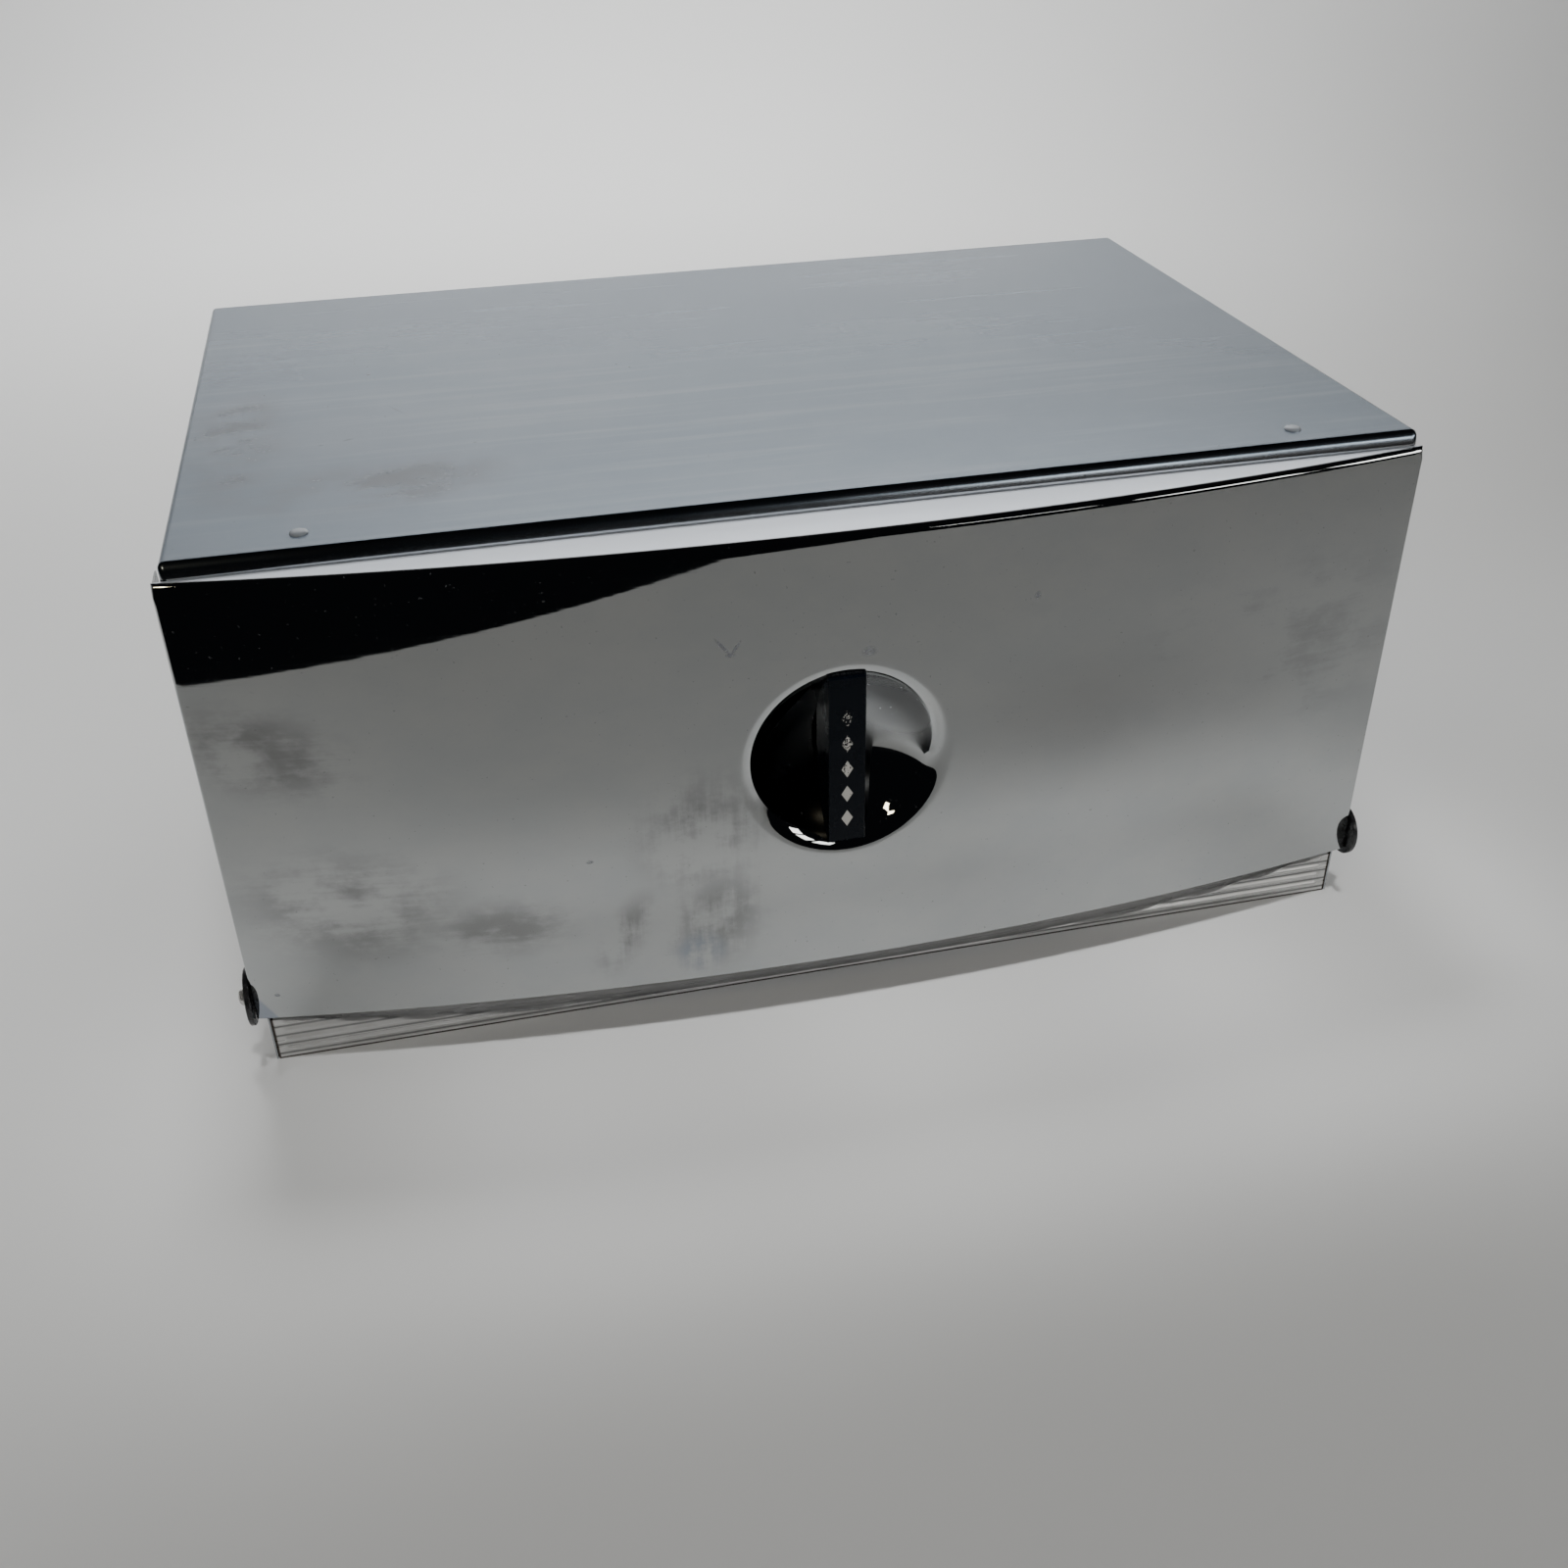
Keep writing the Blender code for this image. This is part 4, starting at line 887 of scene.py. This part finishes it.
def make_case_wrap(finish):
    """Top and sides folded from one sheet, with a leaning, hemmed lip over the door."""
    low = Vector((-CASE_HIGH.x, CASE_LOW.y, 0.0))
    bm = block(CASE_HIGH - low, (CASE_HIGH + low) / 2)

    def folded(edge):
        a, b = (vert.co for vert in edge.verts)
        at_top = min(a.z, b.z) > CASE_HIGH.z - SHEET
        at_front = max(a.y, b.y) < CASE_LOW.y + SHEET
        runs_back = abs(a.y - b.y) > SHEET
        upright = abs(a.z - b.z) > SHEET
        return (at_top and (at_front or runs_back)) or (at_front and upright)

    round_off(bm, folded, CASE_BEND, BEND_STEPS)
    open_rear_and_foot(bm)
    flat = LIP_DROP - CASE_BEND
    slice_level(bm, [LIP_Z + flat * i / LIP_ROWS for i in range(LIP_ROWS)])
    slice_upright(bm, (FRONT_Y, PIVOT_Y + NOTCH_REACH))
    slice_level(bm, (PIVOT_Z - NOTCH_REACH, NOTCH_TOP, RETURN_LOW, RETURN_HIGH))
    remove_faces(bm, lambda p: p.y < FRONT_Y and p.z < LIP_Z)
    remove_faces(bm, lambda p: p.y < PIVOT_Y + NOTCH_REACH and PIVOT_Z - NOTCH_REACH < p.z < NOTCH_TOP)
    hem_lip(bm)
    lean_lip(bm)
    turn_sides_in(bm)
    bmesh.ops.remove_doubles(bm, verts=bm.verts, dist=FINEST)
    thicken(bm)
    fit("case_wrap", bm, "case", finish, "body_shell")


# ---- rivets -------------------------------------------------------------------------------------
SHANK_RADIUS = 0.0013
RIVET_STEPS = 40
# The head above the case's top: share of its radius, height.
RIVET_HEAD = (
    (1.0, 0.00005),
    (1.0, 0.00035),
    (0.93, 0.00062),
    (0.80, 0.00080),
    (0.55, 0.00092),
    (0.0, 0.00100),
)


def make_rivet(side, finish):
    """Low round rivet head pressed into the top, over its shank."""
    low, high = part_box("catch_rivet_" + side)
    centre = (low + high) / 2
    radius = (high.x - low.x) / 2
    section = [(0.0, low.z), (SHANK_RADIUS, low.z), (SHANK_RADIUS, CASE_HIGH.z - SHEET)]
    section += [(radius * share, CASE_HIGH.z + height) for share, height in RIVET_HEAD]
    bm = bmesh.new()
    spin_round(bm, [(centre.x + across, centre.y, up) for across, up in section],
               centre, (0, 0, 1), RIVET_STEPS)
    bmesh.ops.recalc_face_normals(bm, faces=bm.faces)
    fit("rivet_" + side, bm, "case", finish, "catch_rivet_" + side)


# ---- build the object ---------------------------------------------------------------------------
DOOR_CHROME = door_chrome()
CASE_CHROME = case_chrome()
SILL_CHROME = sill_chrome()
TINNED = dull_sheet("tinned_sheet", (0.56, 0.57, 0.58), 0.26, 0.70)
SPRING = dull_sheet("spring_leaf", (0.48, 0.48, 0.50), 0.18, 0.85)
PLATED = dull_sheet("plated_fastener", (0.58, 0.57, 0.55), 0.14, 0.75)
RIVET = dull_sheet("rivet_plate", (0.46, 0.49, 0.53), 0.20, 0.62)
FIBRE = black_fibre()
PLASTIC = black_plastic()

make_door_skin(DOOR_CHROME)
make_sill(SILL_CHROME)
make_case_wrap(CASE_CHROME)
dress(["back_panel", "floor_pan"], TINNED)
make_finger_bar(PLASTIC)
dress(["handle_screw_lower", "handle_screw_upper"], PLATED)
for side in ("left", "right"):
    dress(["catch_" + side], SPRING)
    make_rivet(side, RIVET)
    dress([part + side for part in ("pivot_screw_", "pivot_washer_", "pivot_spacer_", "pivot_nut_")], PLATED)
    dress(["pivot_disc_" + side], FIBRE)


# ---- floor, light and camera --------------------------------------------------------------------
PAPER_TURN = math.radians(-22.0)
PAPER_FRONT = 0.4895           # from the origin square to the paper's front edge
PAPER_HALF = 2.2
PAPER_RUN = 1.55               # flat length behind the front edge
PAPER_CURL = 0.55
PAPER_RISE = 1.4
PAPER_ROWS = 60
DOOR_MIDDLE = (0.0, -0.14, 0.10)
WHITE = (1.0, 1.0, 1.0)
WARM_WHITE = (1.0, 0.98, 0.94)
AMBER = (1.0, 0.86, 0.60)
ROOM_DARK = (0.004, 0.0045, 0.0055, 1.0)


def make_paper():
    """A wide sheet of pale paper, flat under the box and curling up behind it."""
    paper = Finish("pale_paper", 0.0, roughness=0.75)
    cloud = paper.noise((3.0, 3.0, 3.0), detail=3.0)
    paper.to_shader("Base Color", paper.blend(cloud, (0.74, 0.745, 0.74), (0.70, 0.705, 0.70)))
    bm = bmesh.new()
    bmesh.ops.create_grid(bm, x_segments=2, y_segments=PAPER_ROWS, size=1.0)
    turn = Matrix.Rotation(PAPER_TURN, 4, "Z")
    arc = PAPER_CURL * math.pi / 2
    length = PAPER_RUN + arc + PAPER_RISE
    for vert in bm.verts:
        run = (vert.co.y + 1) / 2 * length
        flat = min(run, PAPER_RUN)
        angle = min(max(run - PAPER_RUN, 0.0), arc) / PAPER_CURL
        rise = max(run - PAPER_RUN - arc, 0.0)
        place = Vector((vert.co.x * PAPER_HALF, flat - PAPER_FRONT + PAPER_CURL * math.sin(angle),
                        PAPER_CURL * (1 - math.cos(angle)) + rise))
        vert.co = turn @ place
    bmesh.ops.recalc_face_normals(bm, faces=bm.faces)
    shape("paper_sweep", bm, paper.material)


def hang(name, lamp, place, target, mirrored):
    """Put a light at a place, facing a target; one that isn't mirrored doesn't show in the metal."""
    made = bpy.data.objects.new(name, lamp)
    made.location = place
    made.rotation_euler = (Vector(target) - Vector(place)).to_track_quat("-Z", "Y").to_euler()
    made.visible_glossy = mirrored
    bpy.context.scene.collection.objects.link(made)


def soft_light(name, place, target, size, power, colour=WHITE, mirrored=True, spread=180.0):
    """A rectangular studio light."""
    lamp = bpy.data.lights.new(name, "AREA")
    lamp.shape = "RECTANGLE"
    lamp.size, lamp.size_y = size
    lamp.energy = power
    lamp.color = colour
    lamp.spread = math.radians(spread)
    hang(name, lamp, place, target, mirrored)


def spot_light(name, place, target, cone, radius, power):
    """A round soft-edged light that the metal doesn't mirror."""
    lamp = bpy.data.lights.new(name, "SPOT")
    lamp.spot_size = math.radians(cone)
    lamp.spot_blend = 1.0
    lamp.shadow_soft_size = radius
    lamp.energy = power
    hang(name, lamp, place, target, False)


def bearing(azimuth, elevation, distance):
    """A place seen from the door at an angle right of straight ahead and above the horizon."""
    a, e = math.radians(azimuth), math.radians(elevation)
    ahead = Vector((math.sin(a) * math.cos(e), -math.cos(a) * math.cos(e), math.sin(e)))
    return Vector(DOOR_MIDDLE) + distance * ahead


def make_lights():
    """Soft light from above that the metal doesn't mirror, and a few small lamps that it does."""
    spot_light("pool", (-0.12, 0.66, 1.8), (-0.12, 0.64, 0.0), 71.0, 0.25, 135.0)
    for name, x, power in (("glow_far_left", -0.18, 18.0), ("glow_left", -0.06, 28.0),
                           ("glow_right", 0.06, 30.0), ("glow_far_right", 0.18, 27.0)):
        spot_light(name, (x, -0.33, 1.25), (x + 0.01, -0.165, 0.08), 13.0, 0.05, power)
    spot_light("floor_left", (-0.55, 0.02, 1.5), (-0.53, -0.08, 0.0), 32.0, 0.10, 24.0)
    spot_light("floor_right", (0.50, 0.00, 1.5), (0.48, -0.12, 0.0), 26.0, 0.10, 12.0)
    soft_light("back_wash", (0.0, 1.00, 1.5), (0.1, 1.75, 0.35), (2.0, 0.6), 17.0, mirrored=False,
               spread=110.0)
    soft_light("front_fill", (-0.25, -1.60, 0.75), (0.0, -0.13, 0.0), (0.8, 0.3), 0.9, mirrored=False,
               spread=60.0)
    for name, azimuth in (("lamp_right_near", 28), ("lamp_right_far", 45), ("lamp_right_side", 61)):
        soft_light(name, bearing(azimuth, 23, 1.5), DOOR_MIDDLE, (0.30, 0.24), 1.3, WARM_WHITE)
    soft_light("lamp_left", bearing(-48, 43, 1.4), DOOR_MIDDLE, (0.10, 0.16), 0.8, AMBER)


def make_room():
    """A dark room all round."""
    world = bpy.data.worlds.new("dark_room")
    world.use_nodes = True
    background = world.node_tree.nodes["Background"]
    background.inputs["Color"].default_value = ROOM_DARK
    background.inputs["Strength"].default_value = 1.0
    bpy.context.scene.world = world


def make_camera():
    """Camera a little left of the box, looking down at its front."""
    data = bpy.data.cameras.new("camera")
    data.lens = 37.29
    data.sensor_width = 36.0
    data.clip_start = 0.01
    camera = bpy.data.objects.new("camera", data)
    camera.location = (-0.12079, -0.58418, 0.38942)
    camera.rotation_euler = [math.radians(angle) for angle in (57.343, 0.916, -13.174)]
    bpy.context.scene.collection.objects.link(camera)
    bpy.context.scene.camera = camera


make_paper()
make_lights()
make_room()
make_camera()
